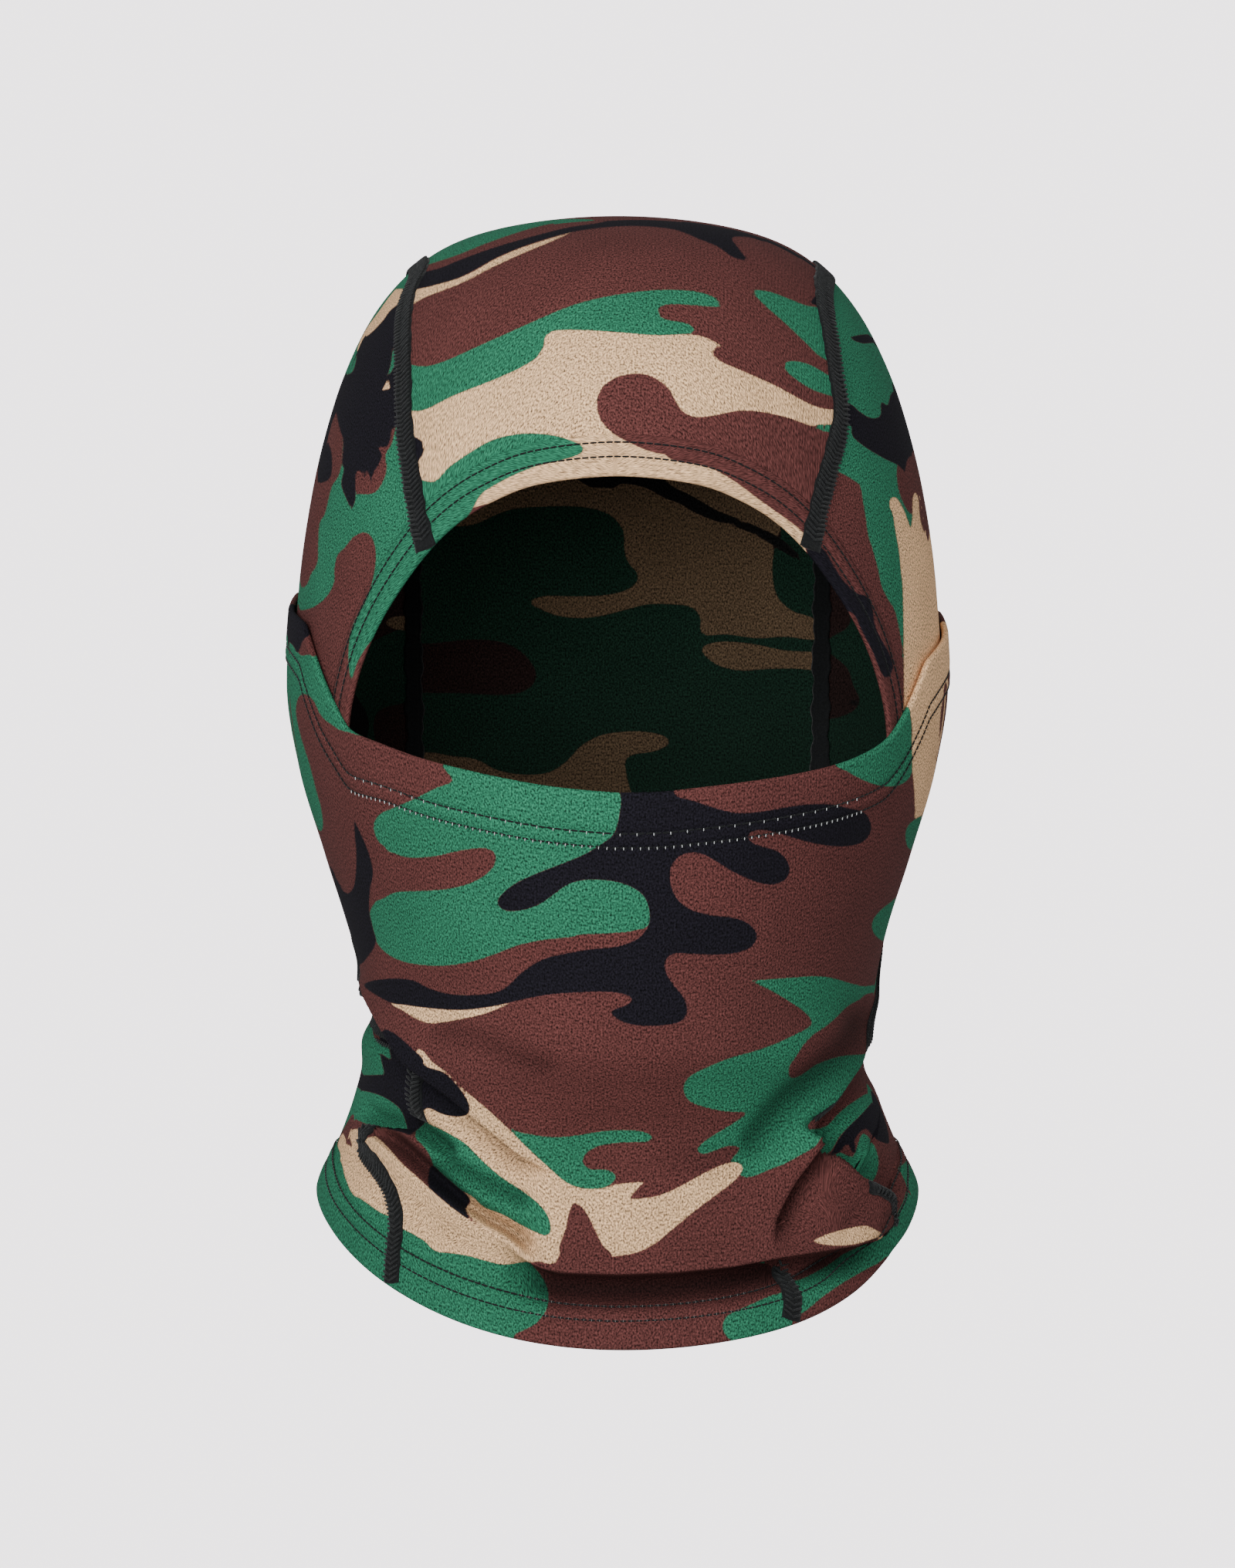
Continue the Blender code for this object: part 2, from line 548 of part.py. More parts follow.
def main():
    for old in list(bpy.data.objects):
        bpy.data.objects.remove(old, do_unlink=True)
    green = material("camouflage_green", GREEN)
    brown = material("camouflage_brown", BROWN)
    tan = material("camouflage_tan", TAN)
    black = material("black_thread", BLACK, 0.7)
    white = material("white_label", WHITE, 0.6)

    crown_panel(brown)
    side_panel("left_side_panel", 1, green)
    side_panel("right_side_panel", -1, green)
    chin_panel(green)
    front_neck_panel(brown)

    opening = [opening_loop(d) for d in (0.0, OPENING_HEM)]
    band_round("face_opening_hem", *opening, -0.7, FABRIC + 0.7, tan)
    on_hem = FABRIC + THREAD_LIFT
    for name, inset in zip(("opening_stitch_inner", "opening_stitch_outer"), OPENING_ROWS):
        ribbon(name, opening_loop(inset), THREAD_WIDTH, on_hem, THREAD_HEIGHT, black, closed=True)

    bottom = [bottom_loop(d) for d in (0.0, BOTTOM_HEM)]
    band_round("bottom_hem", *bottom, LAYER - 1.0, FABRIC + 1.0, tan)
    on_bottom = LAYER + FABRIC + THREAD_LIFT
    for name, inset in zip(("bottom_stitch_lower", "bottom_stitch_upper"), BOTTOM_ROWS):
        ribbon(name, bottom_loop(inset), THREAD_WIDTH, on_bottom, THREAD_HEIGHT, black, closed=True)

    over_threads = THREAD_HEIGHT + THREAD_LIFT
    for name, side in (("left", 1), ("right", -1)):
        ribbon(f"{name}_neck_seam", neck_seam_line(side), SEAM_WIDTH,
               on_bottom + over_threads, SEAM_HEIGHT, black)
        ribbon(f"{name}_crown_seam", crown_seam_line(side), SEAM_WIDTH,
               on_hem + over_threads, SEAM_HEIGHT, black)
        cover_tack(f"{name}_cover_tack", side, black)
    care_label(white)

    hinge = bpy.data.objects.new("cover_hinge", None)
    hinge.location = (0.0, HINGE_Y * MM, HINGE_Z * MM)
    bpy.context.collection.objects.link(hinge)
    bpy.context.view_layer.update()
    face_cover(brown, hinge)
    hem = np.stack([cover_line(d) for d in (0.0, COVER_HEM / 2, COVER_HEM)], axis=0)
    sheet("cover_hem", [hem], 2 * LAYER, FABRIC + 0.6, green, parent=hinge)
    for name, below in zip(("cover_stitch_upper", "cover_stitch_lower"), COVER_ROWS):
        ribbon(name, cover_line(below), THREAD_WIDTH, 2 * LAYER + FABRIC + 0.6 + THREAD_LIFT,
               THREAD_HEIGHT, black, parent=hinge)


main()
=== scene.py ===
import math

import bpy
import mathutils
import numpy as np
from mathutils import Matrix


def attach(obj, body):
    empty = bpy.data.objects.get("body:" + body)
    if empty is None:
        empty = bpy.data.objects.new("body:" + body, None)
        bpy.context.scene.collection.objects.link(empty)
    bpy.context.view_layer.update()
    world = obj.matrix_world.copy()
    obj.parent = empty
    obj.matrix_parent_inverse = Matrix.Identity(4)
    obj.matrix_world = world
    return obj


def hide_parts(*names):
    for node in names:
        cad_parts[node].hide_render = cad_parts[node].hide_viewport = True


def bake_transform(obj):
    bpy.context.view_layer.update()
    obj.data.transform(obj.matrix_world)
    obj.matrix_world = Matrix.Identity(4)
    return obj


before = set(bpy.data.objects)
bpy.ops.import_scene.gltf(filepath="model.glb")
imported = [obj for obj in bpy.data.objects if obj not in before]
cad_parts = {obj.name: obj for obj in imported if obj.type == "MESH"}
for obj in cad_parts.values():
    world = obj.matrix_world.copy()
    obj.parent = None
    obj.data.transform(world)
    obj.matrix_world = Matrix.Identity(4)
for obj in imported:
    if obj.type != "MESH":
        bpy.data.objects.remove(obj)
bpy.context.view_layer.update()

# Sizes are in millimetres and are turned into metres where a mesh is made. The wearer faces -Y, +Z is up
# and +X is the wearer's left, which is the right of the camera's view. An azimuth is in degrees round the
# hood from the front, + to the wearer's left. A side is +1 for the wearer's left and -1 for the right.
MM = 0.001
FABRIC = 1.0  # from the shell to the outside of one layer
JOIN_GAP = 0.4  # between the edges of two pieces in one layer
FINE = 400  # points along a line that others are cut from

# The shell at its main heights: height, half width, front and back.
STATIONS = (
    (158.8, 0.0, 5.0, 5.0),
    (153.0, 40.0, -42.0, 53.0),
    (146.5, 52.0, -60.0, 68.0),
    (134.0, 63.6, -77.0, 83.0),
    (121.5, 70.4, -87.0, 91.0),
    (109.0, 75.2, -93.0, 95.5),
    (85.0, 81.2, -98.5, 99.0),
    (60.0, 84.8, -103.0, 97.0),
    (35.0, 86.2, -109.5, 93.0),
    (12.0, 83.0, -113.5, 87.0),
    (-10.0, 76.6, -110.0, 78.0),
    (-35.0, 69.2, -103.5, 66.0),
    (-52.0, 66.4, -98.5, 59.0),
    (-64.0, 66.6, -90.0, 57.0),
    (-78.0, 70.0, -82.5, 58.5),
    (-92.0, 75.2, -80.0, 63.0),
    (-103.0, 80.0, -81.0, 68.0),
    (-118.0, 81.8, -85.0, 74.0),
    (-136.0, 82.5, -92.0, 80.0),
)
ROUNDNESS = 2.1  # exponent of a level cut; 2 is an ellipse
MIDDLE_Y = 5.0  # the widest place of every level cut
HEAD_Z = 60.0  # centre of the head's dome

# The face opening, half of it: x and z from the top round to the bottom.
OPENING = ((0, 92.5), (19, 90.5), (31, 86), (41, 79.5), (50, 70), (60, 55), (66, 41), (69, 26),
           (68, 10), (62, -8), (50, -26), (32, -39), (0, -45))
OPENING_SPLIT_Z = 40.0  # parts its edge into the top and the rest
OPENING_HEM = 10.5
OPENING_ROWS = (5.0, 8.7)  # stitch rows, from the edge

COVER_ROWS = (9.0, 12.5)  # stitch rows, from the cover's top edge
WING_BACK = 98.0  # azimuth of the front panel's back edge, which runs up to the ear
# From the top of the neck seam back under the jaw: share of the way to the wing's back edge, and height.
WING_LOW = ((0.25, -56), (0.55, -49), (0.8, -42), (1.0, -34))
EAR_Z = 46.0  # top of the seam behind the wing
CHIN_HALF = 44.0  # half the hidden chin panel's width
NECK_JOIN_Z = -72.0  # where the chin panel meets the front panel's seams

# Half the centre strip's width: degrees over the dome from the front, then 1 more for each mm down the back.
STRIP_BEHIND = ((100, 54.0), (150, 57.5), (180, 58.0), (240, 57.0), (290, 51.0), (360, 52.0))
# The crown seams as the camera sees them, from the opening's edge up: height, and distance from the middle.
CROWN_SEAM = {
    1: ((66, 51.0), (72, 51.8), (83, 54.6), (95, 57.8), (107, 60.4), (119, 58.6), (128, 57.4), (138, 55.6),
        (145, 56.0)),
    -1: ((66, 50.6), (72, 51.6), (83, 54.4), (93, 56.0), (103, 57.4), (115, 57.8), (128, 57.9), (136, 57.2),
         (145, 53.6)),
}
SEAM_FOOT_AZIMUTH = 136.0  # where the crown seams meet the bottom hem
SEAM_FOOT_GAP = 4.0

BOTTOM_HEM = 12.0
BOTTOM_ROWS = (7.0, 11.0)
LABEL_WIDTH, LABEL_HEIGHT, LABEL_Z = 24.0, 32.0, -80.0
LABEL_INSET = 0.8  # from the shell in to the label
LABEL_RADIUS = 56.0  # of the nape round the label
TACK_LOW, TACK_HIGH, TACK_WIDTH = 42.0, 51.5, 3.0


# ---- the shell ----

def smooth_through(knots):
    """A function through the knots with no overshoot between them."""
    at = np.array([k[0] for k in knots], float)
    value = np.array([k[1:] for k in knots], float)
    if at[0] > at[-1]:
        at, value = at[::-1], value[::-1]
    step = np.diff(at)[:, None]
    rise = np.diff(value, axis=0) / step
    slope = np.zeros_like(value)
    same = rise[:-1] * rise[1:] > 0
    total = np.where(same, rise[:-1] + rise[1:], 1.0)
    slope[1:-1] = np.where(same, 2 * rise[:-1] * rise[1:] / total, 0.0)
    slope[0], slope[-1] = rise[0], rise[-1]

    def read(position):
        x = np.clip(np.atleast_1d(np.asarray(position, float)), at[0], at[-1])
        i = np.clip(np.searchsorted(at, x, side="right") - 1, 0, len(at) - 2)
        h = step[i]
        t = (x[:, None] - at[i][:, None]) / h
        return (
            (2 * t**3 - 3 * t**2 + 1) * value[i]
            + (t**3 - 2 * t**2 + t) * h * slope[i]
            + (3 * t**2 - 2 * t**3) * value[i + 1]
            + (t**3 - t**2) * h * slope[i + 1]
        )

    return read


def curve(a, b, c, d, t):
    """From b (t = 0) to c (t = 1) on a smooth line through all four."""
    return 0.5 * (2 * b + (c - a) * t + (2 * a - 5 * b + 4 * c - d) * t**2 + (3 * b - a - 3 * c + d) * t**3)


def ease(value, start, end):
    """0 before start, 1 after end and smooth between them."""
    share = np.clip((np.asarray(value, float) - start) / (end - start), 0.0, 1.0)
    return share * share * (3 - 2 * share)


def bump(value, width):
    return np.exp(-(value / width) ** 2)


SHELL_TOP = STATIONS[0][0]
# Read by the square root of the depth under the top, which keeps the crown round.
LEVELS = smooth_through([(math.sqrt(SHELL_TOP - s[0]), *s[1:]) for s in STATIONS])


def shell_value(p):
    """Under 1 inside the shell, and over 1 outside."""
    depth = SHELL_TOP - p[:, 2]
    width, front, back = LEVELS(np.sqrt(np.maximum(depth, 0.0))).T
    reach = np.where(p[:, 1] < MIDDLE_Y, MIDDLE_Y - front, back - MIDDLE_Y)
    width, reach = np.maximum(width, 1e-3), np.maximum(reach, 1e-3)
    across = (np.abs(p[:, 0]) / width) ** ROUNDNESS
    along = (np.abs(p[:, 1] - MIDDLE_Y) / reach) ** ROUNDNESS
    return np.where(depth > 0, across + along, 99.0)


def cast(origins, directions):
    """Where rays from inside the shell leave it."""
    d = directions / np.linalg.norm(directions, axis=1)[:, None]
    low, high = np.zeros(len(d)), np.full(len(d), 260.0)
    for _ in range(34):
        middle = (low + high) / 2
        is_in = shell_value(origins + d * middle[:, None]) < 1
        low, high = np.where(is_in, middle, low), np.where(is_in, high, middle)
    return origins + d * low[:, None]


def centres(p):
    """The points in the hood's middle that its cloth faces away from."""
    return np.stack([np.zeros(len(p)), np.full(len(p), MIDDLE_Y), np.minimum(p[:, 2], HEAD_Z)], axis=1)


def settle(points):
    """Points moved straight out from the head's middle until they lie on the shell."""
    p = np.asarray(points, float).reshape(-1, 3)
    c = centres(p)
    return cast(c, p - c).reshape(np.shape(points))


def normals(p):
    """The shell's outward normals at points on it."""
    step = 0.4
    slope = np.stack([shell_value(p + way) - shell_value(p - way) for way in np.eye(3) * step], axis=1)
    slope[p[:, 2] > SHELL_TOP - 0.6] = (0.0, 0.0, 1.0)
    return slope / np.linalg.norm(slope, axis=1)[:, None]


def lifted(points, height):
    """Points on the shell, moved out from it along its normal."""
    p = np.asarray(points, float).reshape(-1, 3)
    height = np.broadcast_to(np.asarray(height, float).reshape(-1, 1), (len(p), 1))
    return (p + normals(p) * height).reshape(np.shape(points))


def cast_from(x, z, way_x, way_y, way_z=0.0):
    """The shell's points on rays from the hood's middle plane; every argument is an array or a number."""
    x, z, *way = np.broadcast_arrays(*(np.asarray(v, float) for v in (x, z, way_x, way_y, way_z)))
    origin = np.stack([x.ravel(), np.full(x.size, MIDDLE_Y), z.ravel()], axis=1)
    return cast(origin, np.stack([w.ravel() for w in way], axis=1)).reshape(*x.shape, 3)


def round_at(azimuth, z):
    """The shell's points at these azimuths and heights."""
    a = np.radians(np.asarray(azimuth, float))
    return cast_from(0.0, z, np.sin(a), -np.cos(a))


def front_at(x, z):
    """The shell's front at these x and z."""
    return cast_from(x, z, 0.0, -1.0)


def strip_at(turn, x):
    """The shell at x and turn: degrees over the dome from the front, then 1 for each mm down the back."""
    turn = np.asarray(turn, float)
    a = np.radians(np.minimum(turn, 180.0))
    return cast_from(x, HEAD_Z - np.maximum(turn - 180.0, 0.0), 0.0, -np.cos(a), np.sin(a))


def azimuth_of(p):
    return np.degrees(np.arctan2(p[..., 0], -(p[..., 1] - MIDDLE_Y)))


def turn_of(p):
    """Degrees over the dome from the front."""
    return np.degrees(np.arctan2(p[..., 2] - HEAD_Z, MIDDLE_Y - p[..., 1]))


def run(line):
    """Distance along a line at each of its points."""
    return np.concatenate([[0], np.cumsum(np.linalg.norm(np.diff(line, axis=0), axis=1))])


def spaced(line, count, closed=False):
    """The line's points spread evenly along it."""
    line = np.asarray(line, float)
    if closed:
        line = np.concatenate([line, line[:1]])
    at = run(line)
    want = np.linspace(0, at[-1], count + 1)[:-1] if closed else np.linspace(0, at[-1], count)
    return np.stack([np.interp(want, at, line[:, k]) for k in range(3)], axis=1)


def by_side(readers, x, at):
    """Reads the left side's function where x is over 0, and the right side's elsewhere."""
    x, at = np.broadcast_arrays(x, at)
    left, right = (readers[side](at.ravel())[:, 0].reshape(at.shape) for side in (1, -1))
    return np.where(x > 0, left, right)


# ---- the camera ----

CAMERA_FAR = 1600.0
CAMERA_TILT = math.radians(4.5)
AIM_UP = 7.08
VIEW = np.array((0.0, math.cos(CAMERA_TILT), -math.sin(CAMERA_TILT)))
UP = np.array((0.0, math.sin(CAMERA_TILT), math.cos(CAMERA_TILT)))
LENS, SENSOR = 136.07, 36.0


def seen(p):
    """Where the camera sees points: millimetres across and up, on the plane through the origin."""
    from_aim = p - UP * AIM_UP
    near = CAMERA_FAR / (CAMERA_FAR + from_aim @ VIEW)
    return np.stack([from_aim[..., 0] * near, (from_aim @ UP) * near + AIM_UP], axis=-1)


# ---- the lines that the pieces meet on ----

FRONT_REACH = 83.0  # how far from the middle the shell's front is looked for


def under(wanted, lift):
    """The shell's points that the camera sees at these places, once they are lifted."""
    x, z = wanted.T.copy()
    for _ in range(14):
        error = seen(lifted(front_at(np.clip(x, -FRONT_REACH, FRONT_REACH), z), lift)) - wanted
        x, z = x - error[:, 0] * 0.9, z - error[:, 1]
    return front_at(np.clip(x, -FRONT_REACH, FRONT_REACH), z)


def on_front(knots, across_sign, high):
    """The shell's points under a line of the camera's view, given as distance from the middle by height."""
    return under(np.stack([smooth_through(knots)(high)[:, 0] * across_sign, high], axis=1), FABRIC)


# The cover's top edge as the camera sees it, from the middle to each side, and behind that by azimuth and
# height.
COVER_EDGE = {
    1: (((0, 3.8), (10, 4.0), (22, 5.2), (32, 6.4), (44, 8.2), (58, 11.2), (66, 14.2), (72.4, 18.3),
         (77.4, 25.6), (81.3, 34.4), (83.6, 40)), ((89, 49.5), (98, 52.0))),
    -1: (((0, 3.8), (-10, 4.6), (-20, 5.8), (-30, 7.6), (-40, 9.8), (-52, 12.9), (-64, 17.2), (-72, 20.8),
          (-77.0, 29.3), (-80.4, 37.7), (-82.5, 44.3), (-84.3, 50)), ((88, 55.0), (98, 57.0))),
}
COVER_EDGE_LIFT = 2.2  # how far that edge stands off the shell
SIDE_RADIUS = 80.0  # of the hood round the cover's ends
STEEP_SPAN = 11.0  # degrees to each side over which the edge's slope is taken
STEEPEST = 1.2


def cover_edge(knots, back):
    p = under(np.array(knots, float), COVER_EDGE_LIFT)
    azimuth = np.abs(azimuth_of(p))
    return smooth_through(((0.0, p[0, 2]),) + tuple(zip(azimuth, p[:, 2]))[1:] + back)


COVER_TOP = {side: cover_edge(*COVER_EDGE[side]) for side in (1, -1)}


def cover_top(azimuth):
    """Height of the cover's top edge."""
    return by_side(COVER_TOP, azimuth, np.abs(azimuth))


def cover_steepness(azimuth):
    """How much higher a strip along the cover's top edge is than it is wide."""
    rise = cover_top(azimuth + STEEP_SPAN) - cover_top(azimuth - STEEP_SPAN)
    slope = rise / (2 * math.radians(STEEP_SPAN) * SIDE_RADIUS)
    return np.hypot(1.0, np.clip(slope, -STEEPEST, STEEPEST))


def hem_height(azimuth):
    """The bottom edge: lowest at the front, lower at the back than at the sides."""
    a = np.radians(azimuth)
    return (-113.5 - 6.0 * np.cos(a) - 10.5 * np.cos(2 * a)
            - 1.6 * np.cos(a / 2) ** 8 - 3.0 * np.exp(-((azimuth - 42.0) / 24.0) ** 2))


def opening_loop(offset, count):
    """The face opening's edge, or a line this far outside it, evenly spaced from the top."""
    half = np.array(OPENING, float)
    both = np.concatenate([half, half[-2:0:-1] * (-1, 1)])
    turns = np.concatenate([both[-3:], both, both[:4]])
    fine = np.linspace(3, 3 + len(both), 481)[:-1]
    i = fine.astype(int)
    flat = curve(turns[i - 1], turns[i], turns[i + 1], turns[i + 2], (fine - i)[:, None])
    edge = front_at(flat[:, 0], flat[:, 1])
    if offset:
        along = np.roll(edge, -1, axis=0) - np.roll(edge, 1, axis=0)
        out = lifted(edge, 1.0) - edge
        away = np.cross(along, out)
        away /= np.linalg.norm(away, axis=1)[:, None]
        away *= np.sign((away * (edge - edge.mean(axis=0))).sum(axis=1).mean())
        edge = settle(edge + away * offset)
    return spaced(edge, count, closed=True)


def bottom_loop(above, count):
    azimuth = np.linspace(-180, 180, 361)[:-1]
    return spaced(round_at(azimuth, hem_height(azimuth) + above), count, closed=True)


def strip_edge(side):
    """The centre strip's half width by turn."""
    knots = CROWN_SEAM[side]
    p = on_front(knots, side, np.linspace(knots[0][0], knots[-1][0], 14))
    return smooth_through(tuple(zip(turn_of(p), np.abs(p[:, 0]))) + STRIP_BEHIND)


STRIP_EDGES = {side: strip_edge(side) for side in (1, -1)}


def strip_half(turn, x):
    """The strip's half width on the side that x is on."""
    return by_side(STRIP_EDGES, x, turn)


def strip_start(x):
    """The turn at which the centre strip meets the face opening's hem."""
    loop = opening_loop(OPENING_HEM + JOIN_GAP, FINE)
    top = loop[loop[:, 2] > OPENING_SPLIT_Z]
    order = np.argsort(top[:, 0])
    return turn_of(front_at(x, np.interp(x, top[order, 0], top[order, 2])))


def strip_end(x):
    """The turn at which the centre strip meets the bottom hem, at the back."""
    azimuth = np.linspace(120, 240, 241)
    edge = round_at(azimuth, hem_height(azimuth) + BOTTOM_HEM + JOIN_GAP)
    return 180.0 + HEAD_Z - np.interp(x, edge[::-1, 0], edge[::-1, 2])


def strip_corner(side, offset):
    """Where a line round the face opening meets the strip's edge, as if that were on the left."""
    loop = opening_loop(offset, FINE)
    top = loop[(loop[:, 2] > OPENING_SPLIT_Z) & (loop[:, 0] > 0)]
    return top[np.argmin(np.abs(top[:, 0] - STRIP_EDGES[side](turn_of(top))[:, 0]))]


def crown_seam_line(side):
    """From the edge of the face opening over the crown and down to the bottom hem."""
    last = 180.0 + HEAD_Z - hem_height(SEAM_FOOT_AZIMUTH) - BOTTOM_HEM - SEAM_FOOT_GAP
    begin = turn_of(strip_corner(side, 1.0))
    turns = np.concatenate([np.linspace(begin, 180, 60), np.linspace(180, last, 60)[1:]])
    return spaced(strip_at(turns, side * STRIP_EDGES[side](turns)[:, 0]), FINE)


def by_height(line):
    """Azimuth along a line that rises all the way, read by height."""
    line = line[np.argsort(line[:, 2])]
    azimuth = azimuth_of(line)
    return lambda z: np.interp(z, line[:, 2], azimuth)


# The neck seams as the camera sees them, from the bottom edge up to where they turn back under the jaw:
# height, and place across.
NECK_SEAM = {
    1: ((-146, 46.8), (-138, 46.4), (-132, 47.2), (-126, 47.8), (-119.6, 47.6), (-117.6, 53), (-116, 64),
        (-113, 72), (-109, 75.2), (-105.6, 73.6), (-103, 70), (-101.2, 66), (-98.2, 60.7), (-95.5, 57.6),
        (-92.5, 52), (-89.4, 48.6), (-86, 50.6), (-80, 56.4), (-73, 61), (-66, 64.5)),
    -1: ((-146, -61.6), (-130, -60.6), (-120, -60), (-110, -59.4), (-104, -60.4), (-99, -62.8),
         (-93.6, -67), (-90.4, -68.6), (-88.4, -67.4), (-87.4, -62), (-86.4, -56), (-84, -53.6),
         (-77, -54.6), (-70, -55), (-64, -55.2)),
}
# Where the left seam lies on the turned-up flap.
FLAP_SEAM = ((-112, 74.2), (-110.6, 73.9), (-108.5, 73.1), (-105.9, 70.8), (-103.6, 66.8), (-102.6, 62.8))


def neck_seam_line(side):
    """From the bottom edge up the neck, back under the jaw and up to the ear."""
    knots = NECK_SEAM[side]
    line = on_front(knots, 1, np.linspace(knots[0][0], knots[-1][0], 260))
    line = line[line[:, 2] > hem_height(azimuth_of(line)) + 1.2]
    last = float(np.abs(azimuth_of(line[-1])))
    share = np.linspace(0, 1, 80)[1:]
    azimuth = np.concatenate([last + (WING_BACK - last) * share, np.full(60, WING_BACK)])
    low = smooth_through(((0.0, line[-1, 2]),) + WING_LOW)
    z = np.concatenate([low(share)[:, 0], np.linspace(WING_LOW[-1][1], EAR_Z + 4, 61)[1:]])
    line = spaced(np.concatenate([line, round_at(side * azimuth, z)]), FINE)
    for _ in range(24):
        line[1:-1] = settle((line[:-2] + 2 * line[1:-1] + line[2:]) / 4)
    return spaced(line, 700)


NECK_SEAMS = {side: neck_seam_line(side) for side in (1, -1)}
NECK_AZIMUTH = {side: by_height(NECK_SEAMS[side] * (side, 1, 1)) for side in (1, -1)}


def neck_azimuth(azimuth, z):
    """How far round the neck seam is at this height, on the side that the azimuth is on."""
    return np.where(azimuth > 0, NECK_AZIMUTH[1](z), NECK_AZIMUTH[-1](z))


# ---- the print ----
# Every shape is a closed outline in millimetres across and up, as the worn hood is seen from the front. A
# point given twice is a sharp corner. Later shapes cover earlier ones.

GREEN, TAN, BLACK, BROWN = 0, 1, 2, 3

CROWN_SHAPES = (
    (GREEN, ((-62, 119), (-52, 119.8), (-46, 121.5), (-36, 126), (-27, 130), (-18, 134), (-10, 137),
        (0, 139.2), (10, 140.4), (19, 140.3), (25, 139), (29.5, 136.2), (29.5, 136.2), (26, 135.9),
        (20, 136.4), (13, 136.5), (10.5, 134.6), (13, 132.5), (18, 131.6), (20.5, 130), (20, 124),
        (-10, 118), (-62, 98))),
    (TAN, ((-20, 125), (-19.4, 128), (-17, 129.4), (-10, 129.6), (0, 129), (10, 128.2), (20, 128.4),
        (25, 127), (29.5, 124.4), (29.5, 124.4), (26, 124), (24.3, 122.6), (24.3, 122.6), (28, 121),
        (35, 118), (43, 114.4), (50, 110.6), (55, 108.5), (62, 107.3), (62, 102), (55, 101), (46, 103),
        (36, 104), (28, 104), (12, 102), (14, 95), (26, 92), (38, 84), (54, 70), (40, 60), (-20, 80),
        (-38, 82), (-62, 70), (-62, 104), (-52, 108), (-44, 112), (-35, 115.5), (-27, 119), (-22, 122))),
    (BROWN, ((-5.6, 109), (-5, 113), (-2, 116), (2, 117.6), (7, 117.8), (11, 116.2), (14, 113.6),
        (15.6, 110.6), (17.5, 107.8), (21, 106.2), (26, 106.6), (32, 107.8), (38, 107.7), (46, 106),
        (54, 103.2), (64, 101.4), (64, 70), (53, 72.5), (47, 78.5), (41, 83.5), (35, 88), (29, 91.6),
        (22, 94), (15, 95.6), (9, 96.8), (4, 98.8), (-1, 101.6), (-4.4, 105))),
    (GREEN, ((-62, 90), (-50, 88.6), (-46, 92.3), (-40, 96.5), (-34, 99.9), (-27, 101.6), (-20, 101.6),
        (-14, 100.4), (-9.4, 98.2), (-10.5, 96), (-16, 94.3), (-22, 92.8), (-28, 90.4), (-33, 87.8),
        (-37, 85), (-40, 80), (-50, 66), (-66, 68))),
    (BLACK, ((-62, 101), (-56, 101), (-53, 99.8), (-52.2, 97.4), (-53.3, 94.6), (-56, 93), (-62, 93))),
    (GREEN, ((36, 140.4), (41, 140), (47, 137.8), (52, 136), (62, 134.5), (62, 121), (55.5, 122), (51, 126),
        (46, 130.8), (41, 135.2), (37.5, 138.6))),
    (GREEN, ((45, 119.4), (46, 121.2), (50, 120.9), (54, 119.2), (62, 114), (62, 111), (54, 113),
        (49.5, 115.4), (46.6, 117.6))),
    (GREEN, ((52, 103.9), (58, 104.2), (60, 103), (58, 102), (54, 102.8))),
    (GREEN, ((-66, 142), (-52, 147), (-44, 149.6), (-35, 153.2), (-25, 156.6), (-15, 159.2), (-6, 162),
        (-20, 175), (-44, 172), (-66, 158))),
    (BLACK, ((-66, 143), (-50, 145.8), (-44, 148), (-36, 151), (-27, 153.8), (-14, 157.2), (-4, 158.8),
        (4, 161.5), (20, 164), (40, 161), (60, 150), (52, 149.3), (43, 152.8), (36, 154.6), (31, 154.6),
        (32.6, 151.8), (35.6, 148), (35.6, 148), (31, 149.4), (27, 152.2), (22, 154.2), (16, 156.6),
        (8, 157.6), (0, 157.6), (-10, 156.5), (-18, 154.6), (-26, 152), (-33, 149), (-41, 144.6),
        (-48, 142), (-66, 138))),
    (TAN, ((-60, 139), (-50, 141.6), (-41, 144.4), (-33, 148.8), (-26, 151.8), (-18, 154.4), (-12, 156.2),
        (-12, 156.2), (-18, 153.5), (-26, 150.2), (-34, 146.5), (-41, 142.8), (-47, 140.4), (-53, 138),
        (-60, 134))),
    (BLACK, ((55, 147), (56, 142), (53.6, 139), (52, 137.4), (54, 136.2), (60, 136), (62, 146))),
)

